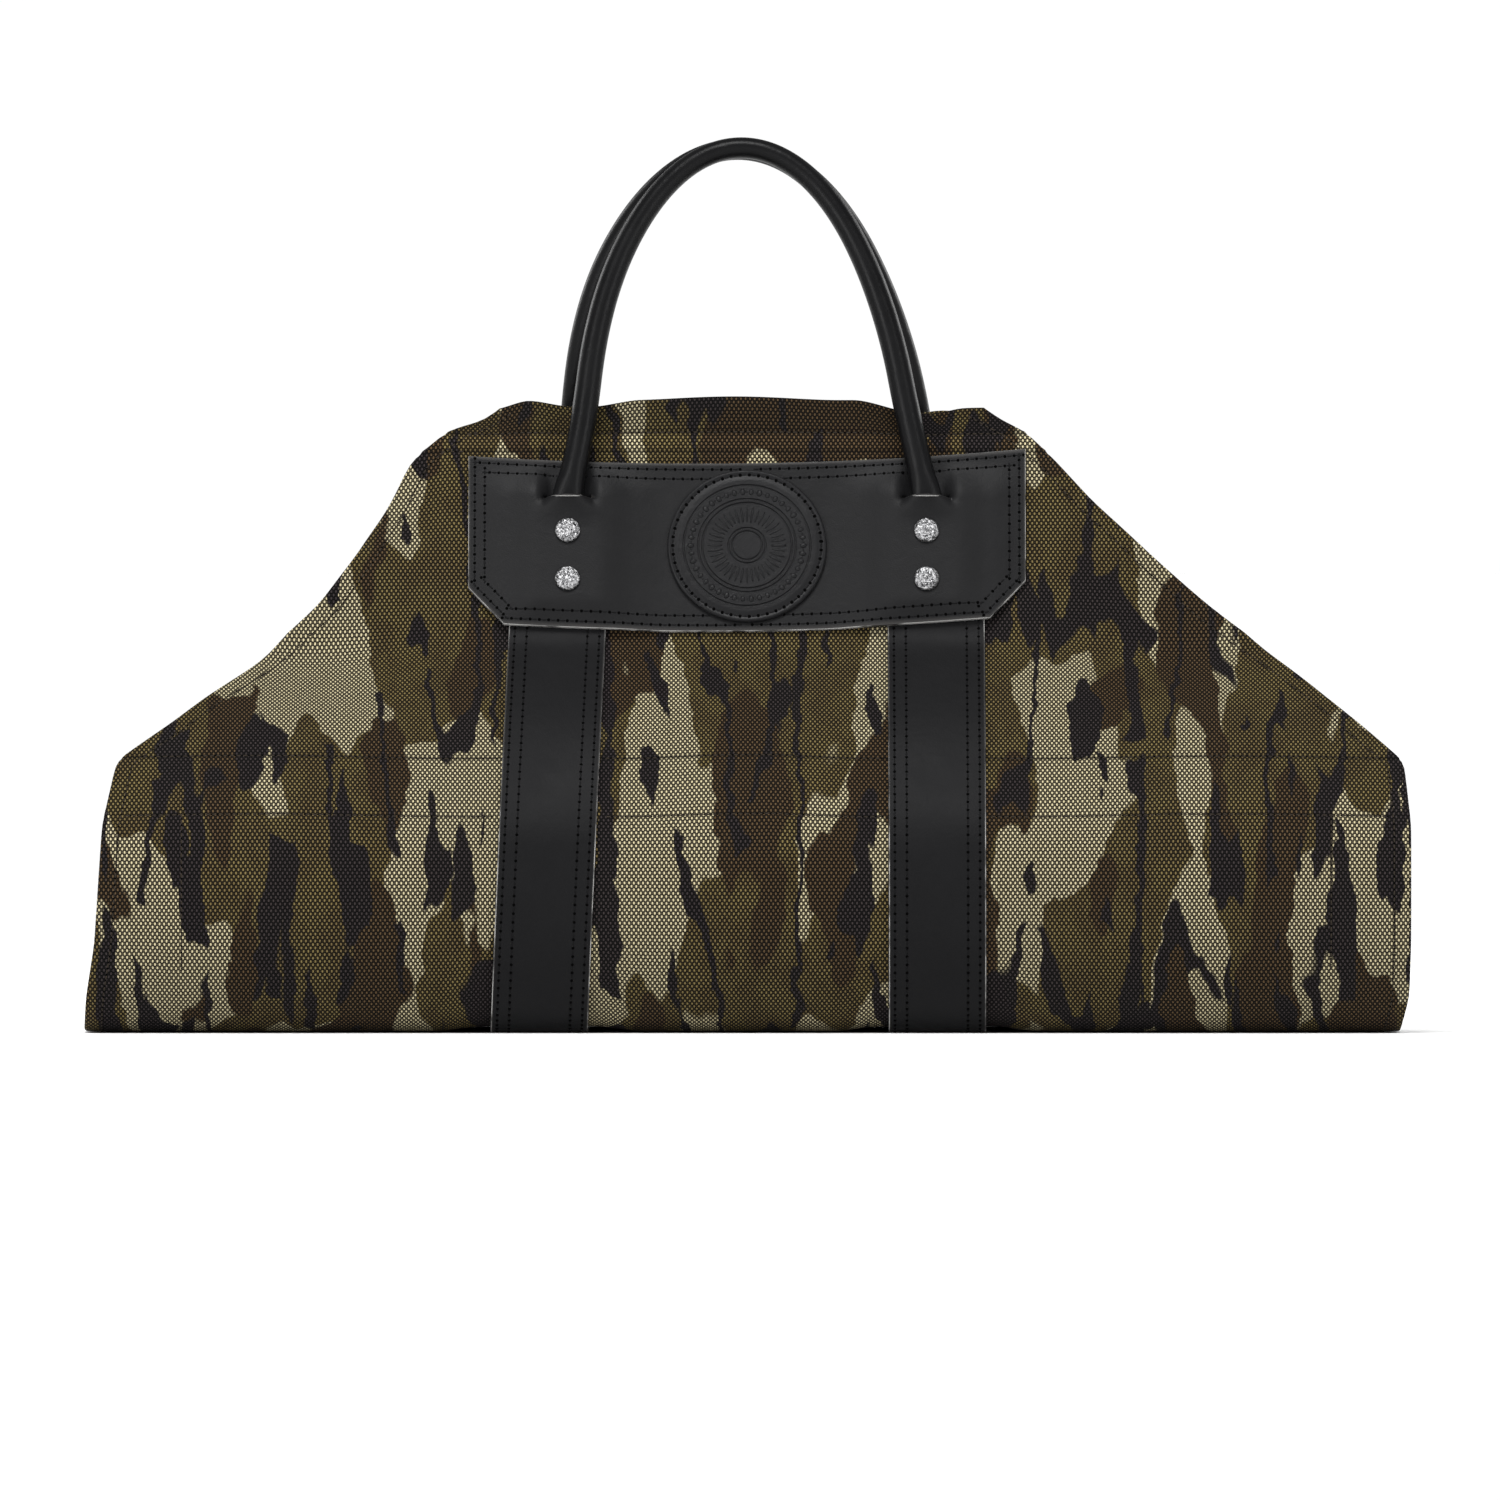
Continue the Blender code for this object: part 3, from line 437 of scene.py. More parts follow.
def new_piece(name: str, mesh: Mesh, *finishes: Material) -> Object:
    """Object of a mesh, at the origin of the scene, with its materials.

    Args:
        name: name of the object.
        mesh: its mesh.
        *finishes: its materials, in order.

    Returns:
        The object, linked to the scene.
    """
    piece = bpy.data.objects.new(name, mesh)
    bpy.context.scene.collection.objects.link(piece)
    for finish in finishes:
        mesh.materials.append(finish)
    return piece


def settle(piece: Object) -> Object:
    """Turn a piece with modifiers into a plain mesh of the same name and drop the modifiers.

    Args:
        piece: the piece, changed in place.

    Returns:
        The same piece.
    """
    depsgraph = bpy.context.evaluated_depsgraph_get()
    mesh = bpy.data.meshes.new_from_object(piece.evaluated_get(depsgraph), depsgraph=depsgraph)
    piece.modifiers.clear()
    old = piece.data
    piece.data = mesh
    bpy.data.meshes.remove(old)
    mesh.name = piece.name
    return piece


def soften(piece: Object, crease: float) -> None:
    """Smooth shading with crisp edges past an angle in degrees."""
    piece.data.shade_smooth()
    piece.data.set_sharp_from_angle(angle=math.radians(crease))


def turn_outwards(mesh: Mesh, merge: float = 0.0) -> None:
    """Turn all faces of a closed mesh outwards.

    Args:
        mesh: the mesh, changed in place.
        merge: distance within which points are joined first, or 0 to leave them.
    """
    body = bmesh.new()
    body.from_mesh(mesh)
    if merge > 0.0:
        bmesh.ops.remove_doubles(body, verts=body.verts, dist=merge)
    bmesh.ops.recalc_face_normals(body, faces=body.faces)
    body.to_mesh(mesh)
    body.free()


def mark_unworn(mesh: Mesh) -> None:
    """Give a mesh the edge attribute of the leather finish, with no wear anywhere."""
    mesh.attributes.new("edge", "FLOAT", "POINT").data.foreach_set("value", [0.0] * len(mesh.vertices))


def shown_stretches(hidden: Sequence[bool], least: int = 1) -> list[slice]:
    """Stretches of a seam that nothing hides.

    Args:
        hidden: whether each point of the seam is covered.
        least: fewest points of a stretch that is kept.

    Returns:
        The stretches, as slices of the seam's points.
    """
    found, start = [], None
    for index, covered in enumerate([*hidden, True]):
        if not covered and start is None:
            start = index
        if covered and start is not None:
            if index - start >= least:
                found.append(slice(start, index))
            start = None
    return found


def seat_mesh(name: str, points: Sequence[Sequence[float]], outs: Sequence[Sequence[float]],
              edges: Sequence[tuple[int, int]] = ()) -> Mesh:
    """Points, or seam lines, that know their outward direction.

    Args:
        name: name of the mesh.
        points: place of each point.
        outs: outward direction at each point.
        edges: pairs of points that a seam joins.

    Returns:
        The mesh, with an attribute named out.
    """
    mesh = bpy.data.meshes.new(name)
    mesh.from_pydata(points, edges, [])
    mesh.attributes.new("out", "FLOAT_VECTOR", "POINT").data.foreach_set(
        "vector", np.array(outs, np.float32).ravel())
    return mesh


def grow(piece: Object, tree: Tree, values: dict[str, Value]) -> Object:
    """Run a node tree on a piece and keep the result as a plain mesh.

    Args:
        piece: the piece, whose mesh is the tree's first input.
        tree: the Geometry Nodes tree.
        values: the tree's other inputs, by name.

    Returns:
        The piece, without its modifier.
    """
    rows = piece.modifiers.new(tree.name, "NODES")
    rows.node_group = tree
    for item in tree.interface.items_tree:
        if item.in_out == "INPUT" and item.name in values:
            rows[item.identifier] = values[item.name]
    return settle(piece)


def dress(piece: Object, slot: str, *nodes: str) -> Object:
    """Ride a finished piece on the carrier, hide the CAD nodes that it stands for, and log its material
    slot and those nodes.

    Args:
        piece: the finished piece.
        slot: material slot that its finish comes from.
        *nodes: CAD nodes that it stands for.

    Returns:
        The same piece.
    """
    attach(piece, "root")
    if nodes:
        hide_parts(*nodes)
    triangles = sum(len(face.vertices) - 2 for face in piece.data.polygons)
    log.info("%s: %d triangles, slot %s, replaces %s", piece.name, triangles, slot, list(nodes))
    return piece


# Finishes


class Nodes:
    """Builder of one node tree."""

    def __init__(self, tree: Tree) -> None:
        """Build in a tree that exists."""
        self.tree = tree

    @classmethod
    def group(cls, name: str, inputs: dict[str, str], output: str) -> "Nodes":
        """Start a Geometry Nodes group.

        Args:
            name: name of the group.
            inputs: kind of each input socket, by the socket's name.
            output: name of the geometry that the group gives.

        Returns:
            The group's builder.
        """
        tree = bpy.data.node_groups.new(name, "GeometryNodeTree")
        for title, kind in inputs.items():
            tree.interface.new_socket(title, in_out="INPUT", socket_type=f"NodeSocket{kind}")
        tree.interface.new_socket(output, in_out="OUTPUT", socket_type="NodeSocketGeometry")
        return cls(tree)

    def put(self, value: Value, socket: Socket) -> None:
        """Link a socket to another, or set a constant on it.

        Args:
            value: the socket to link from, or the constant.
            socket: the input that gets it.
        """
        if isinstance(value, Socket):
            self.tree.links.new(value, socket)
        else:
            socket.default_value = value

    def node(self, kind: str, inputs: dict[str | int, Value] | None = None,
             **settings: bool | float | str) -> bpy.types.Node:
        """Add a node.

        Args:
            kind: type of the node.
            inputs: a socket or constant for each input, by name or place.
            **settings: the node's own properties, which are set first.

        Returns:
            The node.
        """
        node = self.tree.nodes.new(kind)
        for name, setting in settings.items():
            setattr(node, name, setting)
        for key, value in (inputs or {}).items():
            self.put(value, node.inputs[key])
        return node


class Shader(Nodes):
    """Builder of one material's node tree."""

    def __init__(self, name: str) -> None:
        """Make an empty material with its principled shader.

        Args:
            name: name of the material.
        """
        self.material = bpy.data.materials.new(name)
        self.material.use_nodes = True
        super().__init__(self.material.node_tree)
        self.principled = self.tree.nodes["Principled BSDF"]

    def math(self, operation: str, *terms: Value, clamp: bool = False) -> Socket:
        """One math node on values or sockets."""
        return self.node("ShaderNodeMath", dict(enumerate(terms)), operation=operation,
                         use_clamp=clamp).outputs[0]

    def object_coordinates(self) -> Socket:
        """Object coordinates, which are metres in the carrier's frame."""
        return self.node("ShaderNodeTexCoord").outputs["Object"]

    def cloth_coordinates(self) -> Socket:
        """The cloth's own flat coordinates, across and run in metres."""
        return self.node("ShaderNodeUVMap", uv_map="cloth").outputs["UV"]

    def attribute(self, name: str) -> Socket:
        """Value of a mesh attribute."""
        return self.node("ShaderNodeAttribute", attribute_name=name).outputs["Fac"]

    def parts(self, vector: Socket) -> Sequence[Socket]:
        """X, Y and Z of a vector."""
        return self.node("ShaderNodeSeparateXYZ", {0: vector}).outputs

    def place(self, vector: Socket, scale: Sequence[float], shift: Sequence[float] = (0.0, 0.0),
              turn: float = 0.0) -> Socket:
        """Scaled, shifted and turned copy of a flat vector.

        Args:
            vector: the vector.
            scale: scale of X and Y.
            shift: shift of X and Y.
            turn: turn in degrees.

        Returns:
            The copy.
        """
        return self.node("ShaderNodeMapping", {
            "Vector": vector, "Scale": (*scale, 1.0), "Location": (*shift, 0.0),
            "Rotation": (0.0, 0.0, math.radians(turn))}).outputs[0]

    def noise(self, vector: Socket, scale: float = 1.0, detail: float = 2.0, roughness: float = 0.5,
              distortion: float = 0.0, output: str = "Fac") -> Socket:
        """Noise.

        Args:
            vector: where the noise is read.
            scale: how many waves it has in a metre.
            detail: how many finer layers it has.
            roughness: strength of the finer layers.
            distortion: how far it is pulled about.
            output: Fac for one value from 0 to 1, or Color for three.

        Returns:
            The value or the values.
        """
        return self.node("ShaderNodeTexNoise", {
            "Vector": vector, "Scale": scale, "Detail": detail, "Roughness": roughness,
            "Distortion": distortion}).outputs[output]

    def stray(self, vector: Socket, scale: Sequence[float], reach: Sequence[float],
              detail: float) -> Socket:
        """Flat vector that noise moves about.

        Args:
            vector: the vector.
            scale: scale of the noise along X and Y.
            reach: how far the noise moves X and Y.
            detail: how many finer layers the noise has.

        Returns:
            The moved vector.
        """
        noise = self.noise(self.place(vector, scale), detail=detail, output="Color")
        return self.node("ShaderNodeVectorMath", {0: noise, 1: (*reach, 0.0), 2: vector},
                         operation="MULTIPLY_ADD").outputs[0]

    def cells(self, vector: Socket, scale: float, feature: str = "F1") -> Socket:
        """Distance in a pattern of irregular cells."""
        return self.node("ShaderNodeTexVoronoi", {"Vector": vector, "Scale": scale},
                         feature=feature).outputs["Distance"]

    def step(self, value: Socket, low: float, high: float) -> Socket:
        """Smooth step from 0 at low to 1 at high."""
        return self.node("ShaderNodeMapRange", {"Value": value, "From Min": low, "From Max": high},
                         interpolation_type="SMOOTHSTEP").outputs["Result"]

    def span(self, value: Socket, low: float, high: float) -> Socket:
        """Value from 0 to 1 spread from low to high."""
        mapped = self.node("ShaderNodeMapRange", {"Value": value, "To Min": low, "To Max": high})
        return mapped.outputs["Result"]

    def blend(self, share: Value, first: Value, second: Value, way: str = "MIX") -> Socket:
        """Mix of two colours.

        Args:
            share: share of the second colour.
            first: colour or socket.
            second: colour or socket.
            way: how they are mixed.

        Returns:
            The mixed colour.
        """
        first, second = (value if isinstance(value, Socket) else (*value, 1.0) for value in (first, second))
        return self.node("ShaderNodeMix", {0: share, 6: first, 7: second}, data_type="RGBA",
                         blend_type=way).outputs[2]

    def bump(self, height: Socket, distance: float, strength: float, under: Socket | None = None) -> Socket:
        """Normal of a bump.

        Args:
            height: height of the relief, from 0 to 1.
            distance: full height in metres.
            strength: how much of it counts.
            under: normal of another bump below it.

        Returns:
            The normal.
        """
        inputs = {"Height": height, "Distance": distance, "Strength": strength}
        if under is not None:
            inputs["Normal"] = under
        return self.node("ShaderNodeBump", inputs).outputs[0]

    def finish(self, **sockets: Value) -> Material:
        """Connect or set the principled shader's inputs.

        Args:
            **sockets: value of each input, by its name with _ for a space.

        Returns:
            The material.
        """
        for name, value in sockets.items():
            if name == "Base_Color" and not isinstance(value, Socket):
                value = (*value, 1.0)
            self.put(value, self.principled.inputs[name.replace("_", " ")])
        return self.material


@dataclass(frozen=True)
class Motif:
    """Noise that makes one part of the print: its scale and shift, and the step at its edge."""

    scale: tuple[float, float]
    shift: tuple[float, float]
    edge: tuple[float, float]
    detail: float = 1.5
    roughness: float = 0.45
    turn: float = 0.0

    def noise(self, shader: Shader, cloth: Socket) -> Socket:
        """The motif's noise on the cloth."""
        return shader.noise(shader.place(cloth, self.scale, self.shift, self.turn), detail=self.detail,
                            roughness=self.roughness)

    def shape(self, shader: Shader, cloth: Socket) -> Socket:
        """1 inside the motif and 0 outside."""
        return shader.step(self.noise(shader, cloth), *self.edge)


@dataclass(frozen=True)
class CanvasFinish:
    """Heavy plain-weave canvas with a generic four-colour disruptive print, painted shade between its
    yarns, and painted light and shade on its mouth hem.
    """

    hem_run: float
    seam_runs: tuple[float, ...]
    name: str = "printed_canvas"
    khaki: Colour = (0.575, 0.505, 0.308)
    olive: Colour = (0.182, 0.138, 0.050)
    brown: Colour = (0.088, 0.054, 0.024)
    black: Colour = (0.027, 0.021, 0.024)
    stain: Colour = (0.10, 0.085, 0.06)
    # Painted shade between the yarns: the print is multiplied by this near black where the weave sinks.
    yarn_gap_shade: Colour = (0.016, 0.014, 0.017)
    ragged_scale: tuple[float, float] = (95.0, 60.0)
    ragged_reach: tuple[float, float] = (0.011, 0.014)
    olive_fields: Motif = Motif((20.0, 6.5), (3.1, 1.7), (0.490, 0.496))
    brown_fields: Motif = Motif((27.0, 8.0), (8.3, 5.2), (0.575, 0.583))
    streaks: Motif = Motif((36.0, 4.6), (1.3, 9.4), (0.026, 0.031), 1.0, 0.4, 2.0)
    streak_breaks: Motif = Motif((30.0, 14.0), (5.9, 2.8), (0.455, 0.468), 1.0, 0.4)
    blots: Motif = Motif((46.0, 12.0), (0.4, 6.6), (0.628, 0.636), 1.5, 0.5)
    mottle: Motif = Motif((60.0, 42.0), (2.2, 4.1), (0.40, 0.62), 3.0, 0.6)
    warp_pitch: float = 0.00116
    weft_pitch: float = 0.00168
    yarn_drift: tuple[float, float] = (0.00035, 0.00035)
    yarn_height: float = 0.0005
    # Insets from the rim of the rolled top band, darkened as painted shade, and of the flat hem band,
    # lightened as painted light.
    hem_roll: tuple[float, float] = (0.0190, 0.0160)
    hem_flat: tuple[float, float] = (0.0305, 0.0290)
    seam_half: tuple[float, float] = (0.0004, 0.0016)
    roughness: float = 0.88
    specular: float = 0.10

    def material(self) -> Material:
        """Build the material on the cloth's flat coordinates.

        Returns:
            The material.
        """
        shader = Shader(self.name)
        cloth = shader.cloth_coordinates()
        crown = self.weave(shader, cloth)
        stain = shader.noise(shader.place(cloth, (9.0, 7.0)), detail=3.0, roughness=0.6)
        worn = shader.blend(shader.span(stain, 0.0, 0.22), self.print_colour(shader, cloth), self.stain)
        # Painted shade on the rolled hem, painted light on the flat hem band and darker seam lines are
        # multiplied into the stained print here, so worn now holds painted shade and light as well as
        # stains.
        worn = shader.blend(1.0, worn, self.painted_hem_shade_and_light(shader, cloth), "MULTIPLY")
        # Painted shade between the yarns: gap is the colour where the weave sinks between its crowns.
        gap = shader.blend(1.0, worn, self.yarn_gap_shade, "MULTIPLY")
        normal = shader.bump(shader.noise(shader.place(cloth, (45.0, 30.0))), 0.0009, 0.55)
        return shader.finish(Base_Color=shader.blend(crown, gap, worn), Roughness=self.roughness,
                             Normal=shader.bump(crown, self.yarn_height, 0.9, normal),
                             Specular_IOR_Level=self.specular)

    def painted_hem_shade_and_light(self, shader: Shader, cloth: Socket) -> Socket:
        """Painted shade on the rolled top band of the mouth hem, painted light on the flat hem band below
        it, and darker lines along the pressed seams.

        Args:
            shader: builder of the material.
            cloth: the cloth's flat coordinates.

        Returns:
            The shade, which multiplies the colour.
        """
        length = shader.math("ABSOLUTE", shader.parts(cloth)[1])
        rolled, flat = (shader.step(length, *(self.hem_run - inset for inset in insets))
                        for insets in (self.hem_roll, self.hem_flat))
        # 0.86 on the body of the cloth, 1.0 on the flat hem band as painted light, and 0.62 on the rolled
        # top band as painted shade.
        shade = shader.math("ADD", 0.86, shader.math("MULTIPLY", flat, 0.14))
        shade = shader.math("SUBTRACT", shade, shader.math("MULTIPLY", rolled, 0.38))
        for run in self.seam_runs:
            away = shader.math("ABSOLUTE", shader.math("SUBTRACT", length, run))
            line = shader.math("SUBTRACT", 1.0, shader.step(away, *self.seam_half))
            shade = shader.math("MULTIPLY", shade, shader.span(line, 1.0, 0.5))
        return shade

    def print_colour(self, shader: Shader, cloth: Socket) -> Socket:
        """Four colours in soft upright blotches with ragged edges.

        Args:
            shader: builder of the material.
            cloth: the cloth's flat coordinates.

        Returns:
            The colour.
        """
        ragged = shader.stray(cloth, self.ragged_scale, self.ragged_reach, 3.0)
        ridge = shader.math("ABSOLUTE", shader.math("SUBTRACT", self.streaks.noise(shader, ragged), 0.5))
        thin = shader.math("SUBTRACT", 1.0, shader.step(ridge, *self.streaks.edge))
        thin = shader.math("MULTIPLY", thin, self.streak_breaks.shape(shader, ragged))
        black = shader.math("MAXIMUM", thin, self.blots.shape(shader, ragged))
        mottled = shader.blend(self.mottle.shape(shader, ragged), self.olive, self.brown)
        deep_olive = shader.blend(0.45, self.olive, mottled)
        colour = shader.blend(self.olive_fields.shape(shader, ragged), self.khaki, deep_olive)
        colour = shader.blend(self.brown_fields.shape(shader, ragged), colour, self.brown)
        return shader.blend(black, colour, self.black)

    def weave(self, shader: Shader, cloth: Socket) -> Socket:
        """Plain weave of slightly uneven yarns.

        Args:
            shader: builder of the material.
            cloth: the cloth's flat coordinates.

        Returns:
            Height and brightness of the yarns, 1 on their crowns and 0 between them, where the brightness
            is painted shade between the yarns.
        """
        parts = shader.parts(shader.stray(cloth, (260.0, 260.0), self.yarn_drift, 2.0))
        warp, weft = (shader.math("SINE", shader.math("MULTIPLY", part, math.pi / pitch))
                      for part, pitch in ((parts[0], self.warp_pitch), (parts[1], self.weft_pitch)))
        cross = shader.math("MULTIPLY", warp, weft)
        under = shader.step(shader.math("MULTIPLY", cross, -1.0), 0.30, 0.90)
        return shader.math("ADD", shader.step(cross, 0.02, 0.52), shader.math("MULTIPLY", under, 0.12),
                           clamp=True)


@dataclass(frozen=True)
class LeatherFinish:
    """Black leather with pores, soft creases and a worn edge."""

    name: str
    colour: Colour
    worn: Colour = (0.050, 0.048, 0.046)
    roughness: float = 0.46
    grain: float = 1500.0
    grain_depth: float = 0.00010
    specular: float = 0.13

    def material(self) -> Material:
        """Build the material on object coordinates and the edge attribute.

        Returns:
            The material.
        """
        shader = Shader(self.name)
        here = shader.object_coordinates()
        patchy = shader.noise(here, 38.0, 4.0, 0.6)
        pores = shader.cells(here, self.grain)
        fine = shader.noise(here, self.grain * 0.9, 3.0, 0.6)
        crease = shader.noise(here, 130.0, 3.0, 0.65, 0.6)
        lighter = tuple(value * 1.6 for value in self.colour)
        colour = shader.blend(shader.span(patchy, 0.0, 0.8), self.colour, lighter)
        edge = shader.math("MULTIPLY", shader.attribute("edge"), shader.span(fine, 0.35, 1.0))
        colour = shader.blend(edge, colour, self.worn)
        rough = shader.span(patchy, self.roughness - 0.10, self.roughness + 0.14)
        normal = shader.bump(crease, 0.0007, 0.35)
        normal = shader.bump(pores, self.grain_depth, 0.55, normal)
        normal = shader.bump(fine, self.grain_depth * 0.7, 0.4, normal)
        return shader.finish(Base_Color=colour, Roughness=rough, Normal=normal,
                             Specular_IOR_Level=self.specular)


@dataclass(frozen=True)
class EdgeFinish:
    """Cut and burnished edge of leather, paler than its face, partly its own raw colour and partly a
    painted highlight; edges that face up are painted dark, as painted shade.
    """

    name: str = "burnished_edge"
    dark: Colour = (0.022, 0.021, 0.021)
    # Pale cut edge: partly the raw edge's own colour, partly a painted highlight.
    pale: Colour = (0.36, 0.355, 0.345)
    roughness: float = 0.42

    def material(self) -> Material:
        """Build the fibrous edge.

        Returns:
            The material.
        """
        shader = Shader(self.name)
        here = shader.object_coordinates()
        fibre = shader.noise(here, 900.0, 4.0, 0.7)
        blotch = shader.noise(here, 70.0, 3.0, 0.6)
        # Painted shade: cut edges whose normal faces up are turned dark, so the pale painted highlight
        # shows only on side and lower edges.
        level = shader.parts(shader.node("ShaderNodeNewGeometry").outputs["Normal"])[2]
        colour = shader.blend(shader.step(blotch, 0.38, 0.58), self.dark, self.pale)
        colour = shader.blend(shader.span(fibre, 0.0, 0.35), colour, self.dark)
        colour = shader.blend(shader.step(level, 0.20, 0.55), colour, self.dark)
        return shader.finish(Base_Color=colour, Roughness=self.roughness,
                             Normal=shader.bump(fibre, 0.0003, 0.6))


@dataclass(frozen=True)
class MetalFinish:
    """Nickel-plated steel with a hammered face."""

    name: str = "hammered_nickel"
    bright: Colour = (0.40, 0.40, 0.405)
    dull: Colour = (0.20, 0.20, 0.205)
    vein: Colour = (0.016, 0.016, 0.018)

    def material(self) -> Material:
        """Build dents, scratches and dull spots.

        Returns:
            The material.
        """
        shader = Shader(self.name)
        here = shader.object_coordinates()
        dents = shader.cells(here, 620.0, "SMOOTH_F1")
        rough = shader.noise(here, 1400.0, 3.0, 0.6)
        dull = shader.step(shader.noise(here, 900.0, 3.0, 0.65), 0.44, 0.60)
        colour = shader.blend(dull, self.bright, self.dull)
        bent = shader.noise(here, 420.0, 3.0, 0.6, 1.5)
        crack = shader.math("ABSOLUTE", shader.math("SUBTRACT", bent, 0.5))
        colour = shader.blend(shader.step(crack, 0.018, 0.050), self.vein, colour)
        normal = shader.bump(dents, 0.0009, 0.9)
        normal = shader.bump(rough, 0.0004, 0.6, normal)
        return shader.finish(Base_Color=colour, Metallic=1.0, Normal=normal,
                             Roughness=shader.span(rough, 0.28, 0.52))


@dataclass(frozen=True)
class ThreadFinish:
    """Waxed sewing thread."""

    name: str
    colour: Colour
    roughness: float = 0.55
    specular: float = 0.08

    def material(self) -> Material:
        """Build the twisted thread.

        Returns:
            The material.
        """
        shader = Shader(self.name)
        here = shader.object_coordinates()
        twist = shader.noise(here, 2600.0, 2.0, 0.5)
        lighter = tuple(value * 2.0 for value in self.colour)
        colour = shader.blend(shader.span(twist, 0.0, 0.6), self.colour, lighter)
        return shader.finish(Base_Color=colour, Roughness=self.roughness, Specular_IOR_Level=self.specular,
                             Normal=shader.bump(twist, 0.0002, 0.6))


@dataclass(frozen=True)
class StudioFinish:
    """Plain pale floor of the studio."""

    name: str = "pale_floor"
    colour: Colour = (0.93, 0.93, 0.93)

    def material(self) -> Material:
        """Build the matte floor."""
        return Shader(self.name).finish(Base_Color=self.colour, Roughness=0.85, Specular_IOR_Level=0.2)


# Stitching


@dataclass(frozen=True)
class StitchKind:
    """Sizes of one kind of stitch: pitch along the seam, thread and needle holes."""

    pitch: float
    length: float
    width: float
    rise: float
    hole: float
    seed: int = 7


class Stitching:
    """Rows of stitches that follow seam lines, made by one Geometry Nodes tree."""

    SIZES = ("Pitch", "Length", "Width", "Rise", "Hole")

    def __init__(self) -> None:
        """Build the tree once."""
        self.tree = self.build_tree()

    def build_tree(self) -> Tree:
        """Tree that resamples a seam and puts a stitch and, for its needle hole, a flat dark disc of
        painted shade at each pitch.

        Returns:
            The tree.
        """
        group = Nodes.group("stitch_rows", {
            "Seams": "Geometry", **dict.fromkeys(self.SIZES, "Float"), "Seed": "Int", "Thread": "Material",
            "Hole Finish": "Material"}, "Stitches")
        given = group.node("NodeGroupInput").outputs
        curve = group.node("GeometryNodeMeshToCurve", {"Mesh": given["Seams"]})
        even = group.node("GeometryNodeResampleCurve", mode="LENGTH")
        group.put(curve.outputs[0], even.inputs["Curve"])
        group.put(given["Pitch"], even.inputs["Length"])
        tangent = group.node("GeometryNodeInputTangent").outputs[0]
        out = group.node("GeometryNodeInputNamedAttribute", {"Name": "out"}, data_type="FLOAT_VECTOR")
        along = group.node("FunctionNodeAlignRotationToVector", {"Vector": tangent}, axis="X")
        upright = group.node("FunctionNodeAlignRotationToVector", {
            "Rotation": along.outputs[0], "Vector": out.outputs["Attribute"]}, axis="Z", pivot_axis="X")
        chance = group.node("FunctionNodeRandomValue", {2: 0.88, 3: 1.10, "Seed": given["Seed"]},
                            data_type="FLOAT")
        size = group.node("ShaderNodeCombineXYZ", {
            place: given[name] for place, name in enumerate(("Length", "Width", "Rise"))})
        vary = group.node("ShaderNodeVectorMath", {0: size.outputs[0], "Scale": chance.outputs[1]},
                          operation="SCALE")
        half = group.node("ShaderNodeMath", {0: given["Pitch"], 1: 0.5}, operation="MULTIPLY")
        shift = group.node("ShaderNodeVectorMath", {0: tangent, "Scale": half.outputs[0]},
                           operation="SCALE")
        moved = group.node("GeometryNodeSetPosition",
                           {"Geometry": even.outputs[0], "Offset": shift.outputs[0]})
        # Needle holes are flat near-black discs half a pitch along: painted shade, not holes.
        flat = group.node("ShaderNodeVectorMath", {0: (1.0, 1.0, 0.30), "Scale": given["Hole"]},
                          operation="SCALE")
        both = group.node("GeometryNodeJoinGeometry")
        for spots, segments, rings, scale, finish in (
                (moved, 6, 3, flat, given["Hole Finish"]), (even, 8, 4, vary, given["Thread"])):
            bead = group.node("GeometryNodeMeshUVSphere",
                              {"Segments": segments, "Rings": rings, "Radius": 0.5})
            beads = group.node("GeometryNodeInstanceOnPoints", {
                "Points": spots.outputs[0], "Instance": bead.outputs["Mesh"],
                "Rotation": upright.outputs[0], "Scale": scale.outputs[0]})
            dressed = group.node("GeometryNodeSetMaterial",
                                 {"Geometry": beads.outputs[0], "Material": finish})
            group.put(dressed.outputs[0], both.inputs[0])
        real = group.node("GeometryNodeRealizeInstances", {0: both.outputs[0]})
        shade = group.node("GeometryNodeSetShadeSmooth", {0: real.outputs[0]})
        group.node("NodeGroupOutput", {"Stitches": shade.outputs[0]})
        return group.tree

    def sew(self, name: str, seams: Sequence[Seam], kind: StitchKind, thread: Material,
            hole: Material) -> Object:
        """Stitch along seam lines.

        Args:
            name: name of the piece.
            seams: each seam's points and outward directions.
            kind: sizes of the stitches.
            thread: finish of the thread.
            hole: finish of the flat dark discs that paint the shade of the needle holes.

        Returns:
            The piece, a plain mesh.
        """
        points, outs, edges = [], [], []
        for line, out in seams:
            first = len(points)
            points += [tuple(point) for point in line]
            outs += [tuple(direction) for direction in out]
            edges += [(first + index, first + index + 1) for index in range(len(line) - 1)]
        sizes = dict(zip(self.SIZES, (kind.pitch, kind.length, kind.width, kind.rise, kind.hole)))
        return grow(new_piece(name, seat_mesh(name, points, outs, edges)), self.tree,
                    {**sizes, "Seed": kind.seed, "Thread": thread, "Hole Finish": hole})


